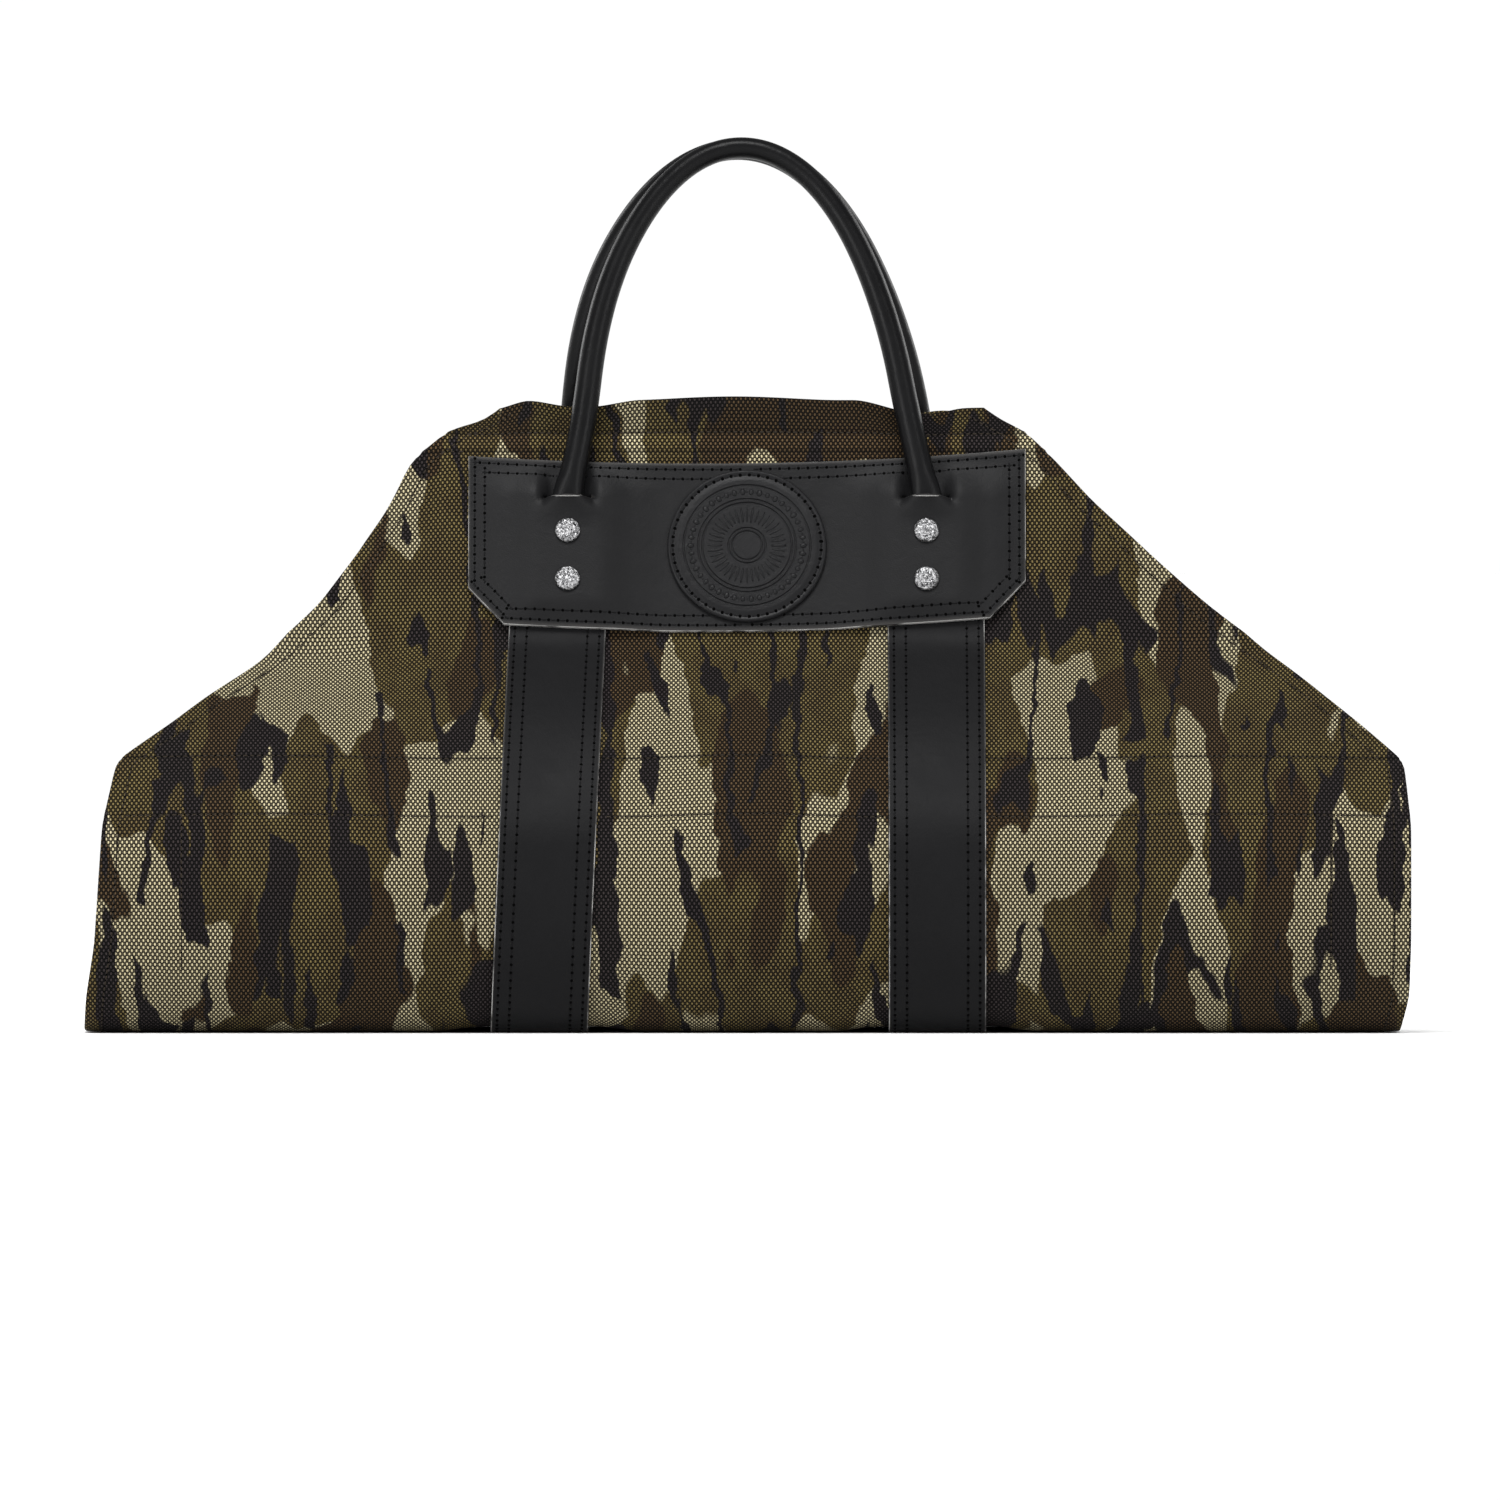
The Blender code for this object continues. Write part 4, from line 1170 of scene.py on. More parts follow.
@dataclass
class Palette:
    """Every material of the carrier, made once."""

    canvas: Material
    panel: Material
    strap: Material
    handle: Material
    patch: Material
    edge: Material
    metal: Material
    black_thread: Material
    brown_thread: Material
    needle_hole: Material

    @classmethod
    def make(cls, sling: Sling) -> "Palette":
        """Build all finishes, those of the canvas for the sling's hems and seams.

        Args:
            sling: shape of the sheet.

        Returns:
            The palette.
        """
        lines = [sling.rim_run - inset for inset in CanvasCloth.mouth_rows]
        lines += [sling.run_at(height) for height in CanvasCloth.seam_heights[:CanvasCloth.pressed_seams]]
        return cls(
            canvas=CanvasFinish(sling.rim_run, tuple(lines)).material(),
            panel=LeatherFinish("panel_leather", (0.0062, 0.0062, 0.0066), specular=0.10).material(),
            strap=LeatherFinish("strap_leather", (0.0048, 0.0048, 0.0052), roughness=0.50,
                                specular=0.07).material(),
            handle=LeatherFinish("handle_leather", (0.0028, 0.0028, 0.0031), roughness=0.34,
                                 grain_depth=0.00003, specular=0.11).material(),
            patch=LeatherFinish("patch_leather", (0.0060, 0.0060, 0.0065), roughness=0.36,
                                specular=0.12).material(),
            edge=EdgeFinish().material(),
            metal=MetalFinish().material(),
            black_thread=ThreadFinish("black_thread", (0.0030, 0.0030, 0.0033)).material(),
            brown_thread=ThreadFinish("brown_thread", (0.020, 0.016, 0.012), 0.75).material(),
            # Painted shade: the needle holes are near-black discs on the surface.
            needle_hole=ThreadFinish("needle_hole", (0.0012, 0.0012, 0.0012), 0.9, 0.0).material(),
        )


# Sub-assemblies


def grid_faces(columns: int, rows: int, first: int = 0, turned: bool = False) -> list[tuple[int, ...]]:
    """Four-cornered faces of a grid of points, stored row by row.

    Args:
        columns: points in a row.
        rows: number of rows.
        first: number of the first point.
        turned: whether the faces look the other way.

    Returns:
        The faces.
    """
    faces = []
    for row in range(rows - 1):
        for column in range(columns - 1):
            corner = first + row * columns + column
            face = (corner, corner + 1, corner + columns + 1, corner + columns)
            faces.append(face[::-1] if turned else face)
    return faces


@dataclass
class CanvasCloth:
    """The printed canvas sheet with its turned hems and their stitching."""

    sling: Sling
    cell_across: float = 0.0040
    cell_run: float = 0.0046
    side_hem: float = 0.0115
    mouth_hem: float = 0.0290
    mouth_rows: tuple[float, ...] = (0.0175, 0.0275)
    seam_heights: tuple[float, ...] = (0.137, 0.108)
    pressed_seams: int = 1
    side_seam_inset: float = 0.040
    side_seam_heights: tuple[float, float] = (0.034, 0.108)
    side_seam_level: float = 0.10
    side_clear: float = 0.012
    rim_clear: float = 0.006
    seam_step: float = 0.003
    edge_row: float = 0.0085
    ledge: float = 0.0006
    row_gap: float = 0.0016
    panel_clear: float = 0.008
    panel_reach: float = 0.142
    pucker: float = 0.00045
    pucker_reach: float = 0.0018
    stitch: StitchKind = StitchKind(0.0033, 0.0026, 0.0009, 0.0008, 0.0011)

    def pressed(self, across: Array, run: Array) -> Array:
        """Outer face of the canvas, pressed in along its stitch rows.

        Args:
            across: X of each point.
            run: run of each point.

        Returns:
            The points.
        """
        points = self.sling.cloth(across, run)
        length = np.abs(np.asarray(run, float))
        near = np.zeros_like(points[..., 0])
        for inset in self.mouth_rows:
            near = np.maximum(near, swell((length - self.sling.rim_run + inset) / self.pucker_reach))
        for height in self.seam_heights:
            near = np.maximum(near, swell((length - self.sling.run_at(height)) / self.pucker_reach)
                              * self.sling.beside_straps(across, np.asarray(height)))
        outward = self.sling.bare(across, run)[1]
        return points - outward * (near * self.pucker)[..., None]

    def hem_distances(self, hem: float) -> list[float]:
        """Distances in from an edge at which the hem's fold and ledge need a line of points.

        Args:
            hem: depth of the hem.

        Returns:
            The distances, from the edge inwards.
        """
        fold = self.sling.thickness
        shares = (0.25, 0.40, 0.55, 0.70, 0.85, 1.0)
        return [0.0, fold * 0.12, fold * 0.45, fold, *(hem * share for share in shares), hem + self.ledge]

    def row_runs(self) -> Array:
        """Runs of the rows of points, from the front rim to the back rim.

        Returns:
            The runs, in order.
        """
        rim = self.sling.rim_run
        special = [rim - distance for distance in self.hem_distances(self.mouth_hem)]
        sewn = [rim - inset for inset in self.mouth_rows]
        sewn += [self.sling.run_at(height) for height in self.seam_heights]
        special += [run + share * self.pucker_reach
                    for run in sewn for share in (-1.0, -0.45, 0.0, 0.45, 1.0)]
        plain = np.linspace(0.0, rim, int(rim / self.cell_run))
        plain = [run for run in plain if min(abs(run - other) for other in special) > self.row_gap]
        half = np.unique(np.round(np.array(special + plain), 7))
        return np.concatenate((-half[:0:-1], half))

    def edge_lines(self, runs: Array) -> tuple[Array, Array, Array]:
        """Left edge, right edge, and how much longer a hem measures across than square to the edge.

        Args:
            runs: run of each row.

        Returns:
            X of the left edge, X of the right edge, and the stretch of each row.
        """
        height = self.sling.height_at(runs)
        left = self.sling.edge_at(height, Side.LEFT, runs)
        right = self.sling.edge_at(height, Side.RIGHT, runs)
        slope = np.abs(np.gradient((right - left) / 2.0, runs))
        return left, right, np.sqrt(1.0 + np.minimum(slope, 1.6) ** 2)

    def build_sheet(self, finish: Material) -> Object:
        """Closed cloth with both faces, folded hems and rounded edges.

        Args:
            finish: the canvas.

        Returns:
            The sheet.
        """
        runs = self.row_runs()
        left, right, stretch = self.edge_lines(runs)
        inset = np.array(self.hem_distances(self.side_hem))
        middle = np.linspace(0.0, 1.0, int(2.0 * self.sling.half_width / self.cell_across))[1:-1]
        near = left[:, None] + inset[None, :] * stretch[:, None]
        far = right[:, None] - inset[None, ::-1] * stretch[:, None]
        inner = near[:, -1:] + (far[:, :1] - near[:, -1:]) * middle[None, :]
        across = np.concatenate((near, inner, far), axis=1)
        run = np.broadcast_to(runs[:, None], across.shape)
        outer, normal = surface_frames(self.pressed, across, run)
        from_side = np.minimum(across - left[:, None], right[:, None] - across) / stretch[:, None]
        from_rim = self.sling.rim_run - np.abs(run)
        hem = np.maximum(1.0 - smooth((from_side - self.side_hem) / self.ledge),
                         1.0 - smooth((from_rim - self.mouth_hem) / self.ledge))
        fold = self.sling.thickness
        total = fold * (1.0 + hem)
        edge = np.clip(np.minimum(from_side, from_rim) / fold, 0.0, 1.0)
        pinch = 1.0 - np.sqrt(np.clip(1.0 - (1.0 - edge) ** 2, 0.0, 1.0))
        front = outer - normal * (pinch * total / 2.0)[..., None]
        back = outer - normal * (total - pinch * total / 2.0)[..., None]
        rows, columns = across.shape
        points = np.concatenate((front.reshape(-1, 3), back.reshape(-1, 3)))
        count = rows * columns
        faces = grid_faces(columns, rows, 0, True) + grid_faces(columns, rows, count)
        mesh = bpy.data.meshes.new("canvas_cloth")
        mesh.from_pydata(points.tolist(), [], faces)
        flat = np.stack([across.ravel(), run.ravel()], axis=-1)
        flat = np.concatenate((flat, flat + np.array((2.0, 0.0)))).astype(np.float32)
        corners = np.zeros(len(mesh.loops), np.int32)
        mesh.loops.foreach_get("vertex_index", corners)
        mesh.uv_layers.new(name="cloth").data.foreach_set("uv", flat[corners].ravel())
        turn_outwards(mesh, merge=1e-6)
        piece = new_piece("canvas_cloth", mesh, finish)
        soften(piece, 60.0)
        return piece

    def line(self, across: Array, run: Array) -> Seam:
        """Seam line on the outer face of the cloth."""
        return surface_frames(self.pressed, across, run)

    def seams(self) -> list[Seam]:
        """Every stitched line of the cloth that shows outside.

        Returns:
            Each seam's points and outward directions.
        """
        lines = []
        for wall in (Wall.FRONT, Wall.BACK):
            sign = wall.value
            lengths = [self.sling.rim_run - inset for inset in self.mouth_rows]
            lengths += [self.sling.run_at(height) for height in self.seam_heights]
            for length in lengths:
                height = self.sling.height_at(np.array(length))
                left = float(self.sling.edge_at(height, Side.LEFT, np.array(sign)))
                right = float(self.sling.edge_at(height, Side.RIGHT, np.array(sign)))
                across = np.arange(left + self.side_clear, right - self.side_clear, self.seam_step)
                run = np.full_like(across, sign * length)
                lines += [self.line(across[shown], run[shown])
                          for shown in shown_stretches(self.under_leather(across, run), least=4)]
            for side in Side:
                low, high = (self.sling.run_at(height) for height in self.side_seam_heights)
                run = sign * np.arange(low, high, self.seam_step)
                edge = self.sling.edge_at(np.array(self.side_seam_level), side, np.array(sign))
                across = np.full_like(run, edge - side.value * self.side_seam_inset)
                lines.append(self.line(across, run))
        for side in Side:
            end = self.sling.rim_run - self.rim_clear
            run = np.arange(-end, end, self.seam_step)
            left, right, stretch = self.edge_lines(run)
            edge = left if side is Side.LEFT else right
            lines.append(self.line(edge - side.value * self.edge_row * stretch, run))
        return lines

    def under_leather(self, across: Array, run: Array) -> Array:
        """Whether points of the cloth are covered by a strap or a panel.

        Args:
            across: X of each point.
            run: run of each point.

        Returns:
            True where leather covers the cloth.
        """
        height = self.sling.height_at(run)
        on_strap = self.sling.beside_straps(across, height) <= 0.0
        high = np.abs(run) > self.sling.panel_bottom_run - self.panel_clear
        low = np.abs(run) < self.sling.panel_top_run + self.panel_clear
        return (on_strap & (np.abs(run) < self.sling.slot_run)) | (
            high & low & (np.abs(across) < self.panel_reach))

    def flat_size(self) -> tuple[tuple[float, float], float]:
        """Width and length of the sheet before it was sewn and bent, and its flat area.

        Returns:
            Width and length, and the area.
        """
        runs = np.linspace(-self.sling.rim_run, self.sling.rim_run, 400)
        left, right, _ = self.edge_lines(runs)
        return (float((right - left).max()), 2.0 * self.sling.rim_run), float(np.trapz(right - left, runs))

    def build(self, palette: Palette, stitching: Stitching) -> list[Object]:
        """Sheet and its stitches, dressed.

        Args:
            palette: the carrier's finishes.
            stitching: the builder of stitches.

        Returns:
            The pieces.
        """
        cloth = dress(self.build_sheet(palette.canvas), "canvas", "canvas_sling")
        stitches = dress(stitching.sew("canvas_stitches", self.seams(), self.stitch,
                                       palette.brown_thread, palette.needle_hole), "canvas")
        size, area = self.flat_size()
        log.info("flat sheet %.3f x %.3f m, area %.3f", *size, area)
        return [cloth, stitches]


def leather_wall(name: str, inner: Array, outer: Array, faces: Sequence[tuple[int, ...]],
                 wear: Array, finishes: Sequence[Material],
                 rounding: float = 0.00042) -> Object:
    """Leather between an inner and an outer sheet of points, closed and rounded at every cut edge.

    Args:
        name: name of the piece.
        inner: points of the inner face.
        outer: points of the outer face, in the same order.
        faces: faces of the outer face, which look outwards.
        wear: share of edge wear of each point.
        finishes: face finish and cut edge finish.
        rounding: width of the bevel along the cut edges.

    Returns:
        The piece, with an edge attribute.
    """
    count = len(inner)
    uses: dict[tuple[int, int], tuple[int, int] | None] = {}
    for face in faces:
        for first, second in zip(face, face[1:] + face[:1]):
            key = (min(first, second), max(first, second))
            uses[key] = None if key in uses else (first, second)
    rims = [pair for pair in uses.values() if pair is not None]
    walls = [(second + count, first + count, first, second) for first, second in rims]
    shell = [tuple(corner + count for corner in face) for face in faces] + [face[::-1] for face in faces]
    mesh = bpy.data.meshes.new(name)
    mesh.from_pydata(np.concatenate((inner, outer)).tolist(), [], shell + walls)
    mesh.attributes.new("edge", "FLOAT", "POINT").data.foreach_set(
        "value", np.tile(wear, 2).astype(np.float32))
    piece = new_piece(name, mesh, *finishes)
    mesh.polygons.foreach_set("material_index", [0] * len(shell) + [1] * len(walls))
    bevel = piece.modifiers.new("cut edge", "BEVEL")
    bevel.width = rounding
    bevel.segments = 2
    bevel.limit_method = "ANGLE"
    bevel.angle_limit = math.radians(55.0)
    bevel.material = 1
    settle(piece)
    soften(piece, 45.0)
    return piece


@dataclass
class LeatherStrap:
    """Strap that follows the sheet from the front panel round to the back panel."""

    sling: Sling
    side: Side
    columns: int = 13
    edge_share: float = 0.48
    wear_reach: float = 0.0008
    under_panel: float = 0.004
    cell_run: float = 0.0040
    top_below_slot: float = 0.009
    rows_in: tuple[float, ...] = (0.0030, 0.0090)
    stitch: StitchKind = StitchKind(0.0044, 0.0028, 0.0009, 0.0006, 0.0018)

    def outer(self, across: Array, run: Array) -> Array:
        """Outer face of the strap."""
        return self.sling.layer(across, run, np.full_like(run, GAP + self.sling.strap_thickness))

    def build(self, palette: Palette, stitching: Stitching) -> list[Object]:
        """Strap and its four stitch rows, dressed.

        Args:
            palette: the carrier's finishes.
            stitching: the builder of stitches.

        Returns:
            The pieces.
        """
        word = self.side.name.lower()
        top = self.sling.slot_run - self.top_below_slot
        runs = np.linspace(-top, top, int(2.0 * top / self.cell_run))
        shares = np.sort(np.append(np.linspace(-0.5, 0.5, self.columns),
                                   (-self.edge_share, self.edge_share)))
        centre = self.sling.strap_centre(self.side, self.sling.height_at(runs))
        across = centre[:, None] + self.sling.strap_width * shares[None, :]
        run = np.broadcast_to(runs[:, None], across.shape)
        inner = self.sling.layer(across, run, np.full(across.shape, GAP)).reshape(-1, 3)
        wear = np.clip(1.0 - (0.5 - np.abs(shares)) * self.sling.strap_width / self.wear_reach, 0.0, 1.0)
        strap = leather_wall(f"strap_leather_{word}", inner, self.outer(across, run).reshape(-1, 3),
                             grid_faces(len(shares), len(runs), 0, True),
                             np.broadcast_to(wear[None, :], across.shape).ravel(),
                             (palette.strap, palette.edge))
        dress(strap, "strap_leather", f"strap_{word}")
        seams = []
        shown = runs[np.abs(runs) < self.sling.panel_bottom_run + self.under_panel]
        middle = self.sling.strap_centre(self.side, self.sling.height_at(shown))
        for inset in self.rows_in:
            for hand in (-1.0, 1.0):
                line = middle + hand * (self.sling.strap_width / 2.0 - inset)
                seams.append(surface_frames(self.outer, line, shown))
        stitches = stitching.sew(f"strap_stitches_{word}", seams, self.stitch, palette.black_thread,
                                 palette.needle_hole)
        return [strap, dress(stitches, "strap_leather")]


@dataclass(frozen=True)
class RootRow:
    """How a handle flattens at a share of the tongue's length below its slot."""

    below: float
    wide: float
    thin: float
    square: float


@dataclass
class HandleShape:
    """Sizes of the handles, which the panels also need for the bulge over each tongue."""

    diameter: float = 0.0125
    rise: float = 0.1825
    top_gap: float = 0.0012
    splay_end: float = 0.3
    tongue_width: float = 0.025
    tongue_thickness: float = 0.0025
    tongue_length: float = 0.0525
    slot_ease: float = 0.0049
    tongue_out: float = 0.0031
    root: tuple[RootRow, ...] = (
        RootRow(1.00, 0.80, 1.00, 6.0), RootRow(0.94, 1.00, 1.00, 6.0), RootRow(0.22, 1.00, 1.00, 6.0),
        RootRow(0.11, 0.62, 0.70, 3.0), RootRow(0.00, 0.22, 0.34, 2.3), RootRow(-0.20, 0.06, 0.12, 2.0))

    def at(self, below: Array) -> tuple[Array, Array, Array]:
        """Width, thickness and squareness at distances below the slot.

        Args:
            below: distances below the slot.

        Returns:
            Width, thickness and squareness.
        """
        rows = self.root[::-1]
        share = np.asarray(below) / self.tongue_length
        heights = [row.below for row in rows]
        wide = np.interp(share, heights, [row.wide for row in rows])
        thin = np.interp(share, heights, [row.thin for row in rows])
        square = np.interp(share, heights, [row.square for row in rows])
        return (mix(self.diameter, self.tongue_width, wide),
                mix(self.diameter, self.tongue_thickness, thin), square)

    @property
    def bulge_length(self) -> float:
        """Length of the bulge below a slot."""
        return self.root[2].below * self.tongue_length

    @property
    def slot_half_width(self) -> float:
        """Half the width of a slot."""
        return mix(self.diameter, self.tongue_width, self.root[4].wide) / 2.0 + self.slot_ease


@dataclass
class LeatherPanel:
    """Panel over straps and tongues, with two slots whose lower lips stand out."""

    sling: Sling
    handle: HandleShape
    wall: Wall
    thickness: float = 0.0025
    past_strap: float = 0.0207
    chamfer: float = 0.018
    chamfer_height: float = 0.019
    tilt: float = 0.0038
    ramp_inside: float = 0.030
    ramp_outside: float = 0.019
    ramp_tongue: float = 0.019
    ramp_tip: float = 0.014
    ramp_above: float = 0.021
    ramp_below: float = 0.006
    dip_half_width: float = 0.0075
    dip_ramp: float = 0.0085
    bulge_ease: float = 1.02
    bulge_past_slot: float = 0.0004
    bulge_end_half: float = 0.030
    crease: float = 0.0022
    lip_drop: float = 0.0022
    cell: float = 0.0022
    lower_rows: int = 34
    upper_rows: int = 12
    rows_in: tuple[float, ...] = (0.0032, 0.0082)
    patch_below: float = 0.0252
    patch_clear: float = 0.0412
    wear_reach: float = 0.0011
    lip_wear: float = 0.8
    stitch: StitchKind = StitchKind(0.0046, 0.0028, 0.0009, 0.0006, 0.0019)

    @property
    def half_width(self) -> float:
        """Half the panel's width."""
        return (self.sling.slot_half_spacing + self.sling.strap_past_slot
                + self.sling.strap_width / 2.0 + self.past_strap)

    def bulge(self, aside: Array, below: Array) -> Array:
        """Height of the tent of leather over a handle's root, above the leather that lies flat.

        Args:
            aside: distance across from the slot's middle.
            below: distance below the slot.

        Returns:
            The height of each point.
        """
        handle = self.handle
        share = np.clip(below / handle.bulge_length, 0.0, 1.0)
        thick = handle.at(np.clip(below, 0.0, handle.bulge_length))[1]
        half = mix(handle.slot_half_width + self.bulge_past_slot, self.bulge_end_half, share)
        dome = np.clip(1.0 - np.abs(aside / half) ** 2.4, 0.0, 1.0) ** 1.15
        fade = 1.0 - smooth((below - handle.bulge_length) / handle.bulge_length)
        return self.bulge_ease * (handle.tongue_out + thick) * dome * fade

    def rise(self, aside: Array, below: Array) -> Array:
        """Distance out from the canvas of the inner face, near one slot.

        Args:
            aside: distance across from the slot's middle.
            below: distance below the slot.

        Returns:
            The distance of each point.
        """
        sling, handle = self.sling, self.handle
        over_strap = sling.seat
        over_tongue = handle.tongue_out + handle.tongue_thickness
        from_strap = aside - sling.strap_past_slot
        past_strap = np.abs(from_strap) - (sling.strap_width + sling.strap_margin) / 2.0
        past_tongue = np.abs(aside) - (handle.tongue_width + sling.strap_margin) / 2.0
        past_tip = below - handle.tongue_length - sling.strap_margin / 2.0
        beside = smooth((np.abs(aside) - self.dip_half_width) / self.dip_ramp)
        enter = np.where(below < 0.0, beside * smooth(1.0 + below / self.ramp_above),
                         mix(beside, 1.0, smooth(below / self.ramp_below)))
        ramp = np.where(from_strap < 0.0, self.ramp_inside, self.ramp_outside)
        layered = over_strap * (1.0 - smooth(past_strap / ramp))
        layered += ((over_tongue - over_strap) * (1.0 - smooth(past_tongue / self.ramp_tongue))
                    * (1.0 - smooth(past_tip / self.ramp_tip)))
        layered *= enter
        tent = np.where(below < 0.0, 0.0, self.bulge(aside, np.maximum(below, 0.0)))
        peak = np.maximum(layered, tent)
        near = smooth(1.0 - np.abs(layered - tent) / self.crease)
        return GAP + peak + near * near * self.crease / 8.0 * np.minimum(1.0, tent / self.crease)

    def edge_shift(self, across: Array) -> Array:
        """How far the top and bottom edges hang down or rise at an X."""
        share = across / self.half_width
        return self.tilt / 2.0 * share - self.sling.panel_sag * (1.0 - share * share)

    def bottom_below(self, across: Array) -> Array:
        """Distance of the bottom edge below the slots, with its cut corners.

        Args:
            across: X of each point.

        Returns:
            The distance at each X.
        """
        cut = np.maximum(0.0, np.abs(across) - (self.half_width - self.chamfer)) / self.chamfer
        return (self.sling.slot_run - self.sling.panel_bottom_run - self.edge_shift(across)
                - cut * self.chamfer_height)

    def top_below(self, across: Array) -> Array:
        """Distance of the top edge below the slots, which is negative."""
        return self.sling.slot_run - self.sling.panel_top_run - self.edge_shift(across)

    def columns(self) -> Array:
        """X of the columns of points, finer at the slots and at the ends.

        Returns:
            The X of each column, left to right.
        """
        slot = self.handle.slot_half_width
        shares = np.array((-1.0, -0.93, -0.82, -0.68, -0.5, -0.3, -0.1,
                           0.1, 0.3, 0.5, 0.68, 0.82, 0.93, 1.0))
        half = list(self.sling.slot_half_spacing + shares * slot)
        half += [self.half_width, self.half_width - 0.0012, self.half_width - self.chamfer]
        plain = np.arange(self.cell / 2.0, self.half_width, self.cell)
        half += [x for x in plain if min(abs(x - other) for other in half) > self.cell * 0.45]
        half = np.array(sorted(half))
        return np.concatenate((-half[::-1], [0.0], half))

    def build_leather(self, palette: Palette) -> Object:
        """Grid of the inner face with its slits, thickened outwards.

        Args:
            palette: the carrier's finishes.

        Returns:
            The panel.
        """
        columns = self.columns()
        bottom, top = self.bottom_below(columns), self.top_below(columns)
        down = (1.0 - np.linspace(0.0, 1.0, self.lower_rows + 1)) ** 1.25
        up = np.linspace(0.0, 1.0, self.upper_rows + 1)[1:]
        below = np.concatenate((down[:, None] * bottom[None, :], up[:, None] * top[None, :]))
        slot_row = self.lower_rows
        across = np.broadcast_to(columns[None, :], below.shape)
        aside = np.abs(across) - self.sling.slot_half_spacing
        inside = np.abs(np.abs(columns) - self.sling.slot_half_spacing) < self.handle.slot_half_width - GAP
        rise = self.rise(aside, below)
        rise[slot_row] = np.where(inside, GAP, rise[slot_row])
        runs = self.wall.value * (self.sling.slot_run - below)
        lip_aside = aside[slot_row][inside]
        lip_below = self.lip_drop * (1.0 - (lip_aside / self.handle.slot_half_width) ** 2)
        lip_runs = self.wall.value * (self.sling.slot_run - lip_below)
        lip_rise = self.rise(lip_aside, np.zeros_like(lip_aside))
        rows, count = below.shape
        across = np.concatenate((across.ravel(), columns[inside]))
        runs = np.concatenate((runs.ravel(), lip_runs))
        rise = np.concatenate((rise.ravel(), lip_rise))
        lip_index = {int(column): rows * count + place
                     for place, column in enumerate(np.nonzero(inside)[0])}
        faces = []
        for face in grid_faces(count, rows, 0, self.wall is Wall.FRONT):
            if min(face) // count == slot_row - 1:
                face = tuple(lip_index.get(corner % count, corner) if corner // count == slot_row
                             else corner for corner in face)
            faces.append(face)
        from_edge = np.minimum(np.minimum(bottom[None, :] - below, below - top[None, :]),
                               self.half_width - np.abs(columns)[None, :])
        wear = np.clip(1.0 - from_edge / self.wear_reach, 0.0, 1.0).ravel()
        wear = np.concatenate((wear, np.full(len(lip_index), self.lip_wear)))
        return leather_wall(f"panel_leather_{self.wall.name.lower()}", self.sling.layer(across, runs, rise),
                            self.sling.layer(across, runs, rise + self.thickness), faces, wear,
                            (palette.panel, palette.edge))

    def outer(self, across: Array, run: Array) -> Array:
        """Outer face of the panel.

        Args:
            across: X of each point.
            run: run of each point.

        Returns:
            The points.
        """
        below = self.sling.slot_run - np.abs(run)
        rise = self.rise(np.abs(across) - self.sling.slot_half_spacing, below)
        return self.sling.layer(across, run, rise + self.thickness)

    def outline(self, step: float = 0.0004) -> list[Array]:
        """Sides of the panel's outline, across and below, clockwise from the top left.

        Args:
            step: distance from point to point.

        Returns:
            The points of each side.
        """
        ends, corner = self.half_width, self.half_width - self.chamfer
        sides = []
        for start, end, edge in ((-ends, ends, self.top_below), (ends, corner, self.bottom_below),
                                 (corner, -corner, self.bottom_below), (-corner, -ends, self.bottom_below)):
            across = np.linspace(start, end, int(abs(end - start) / step) + 2)
            sides.append(np.stack([across, edge(across)], -1))
        for place, first, last in ((1, sides[0][-1], sides[1][0]), (5, sides[3][-1], sides[0][0])):
            shares = np.linspace(0.0, 1.0, int(np.linalg.norm(last - first) / step))[:, None]
            sides.insert(place, first + (last - first) * shares)
        return sides

    def inset_lines(self, inset: float) -> list[Array]:
        """Sides of the outline moved inwards, each cut where it meets its neighbours.

        Args:
            inset: distance in from the outline.

        Returns:
            The points of each side.
        """
        sides = self.outline()
        whole = np.concatenate(sides)
        lines = []
        for side in sides:
            ahead = np.gradient(side, axis=0)
            moved = side + unit(np.stack([-ahead[:, 1], ahead[:, 0]], axis=-1)) * inset
            gaps = np.linalg.norm(moved[:, None, :] - whole[None, :, :], axis=-1).min(axis=1)
            lines.append(moved[gaps > inset * 0.97])
        return lines

    def seams(self) -> list[Seam]:
        """Two stitch rows round the panel, left out under the round patch.

        Returns:
            Each seam's points and outward directions.
        """
        lines = []
        for line in (line for inset in self.rows_in for line in self.inset_lines(inset)):
            across, below = line[:, 0], line[:, 1]
            hidden = np.zeros(len(line), bool)
            if self.wall is Wall.FRONT:
                hidden = np.hypot(across, below - self.patch_below) < self.patch_clear
            runs = self.wall.value * (self.sling.slot_run - below)
            lines += [surface_frames(self.outer, across[shown], runs[shown])
                      for shown in shown_stretches(hidden)]
        return lines

    def build(self, palette: Palette, stitching: Stitching) -> list[Object]:
        """Panel and its stitches, dressed.

        Args:
            palette: the carrier's finishes.
            stitching: the builder of stitches.

        Returns:
            The pieces.
        """
        word = self.wall.name.lower()
        panel = dress(self.build_leather(palette), "panel_leather", f"{word}_panel")
        stitches = stitching.sew(f"panel_stitches_{word}", self.seams(), self.stitch,
                                 palette.black_thread, palette.needle_hole)
        return [panel, dress(stitches, "panel_leather")]


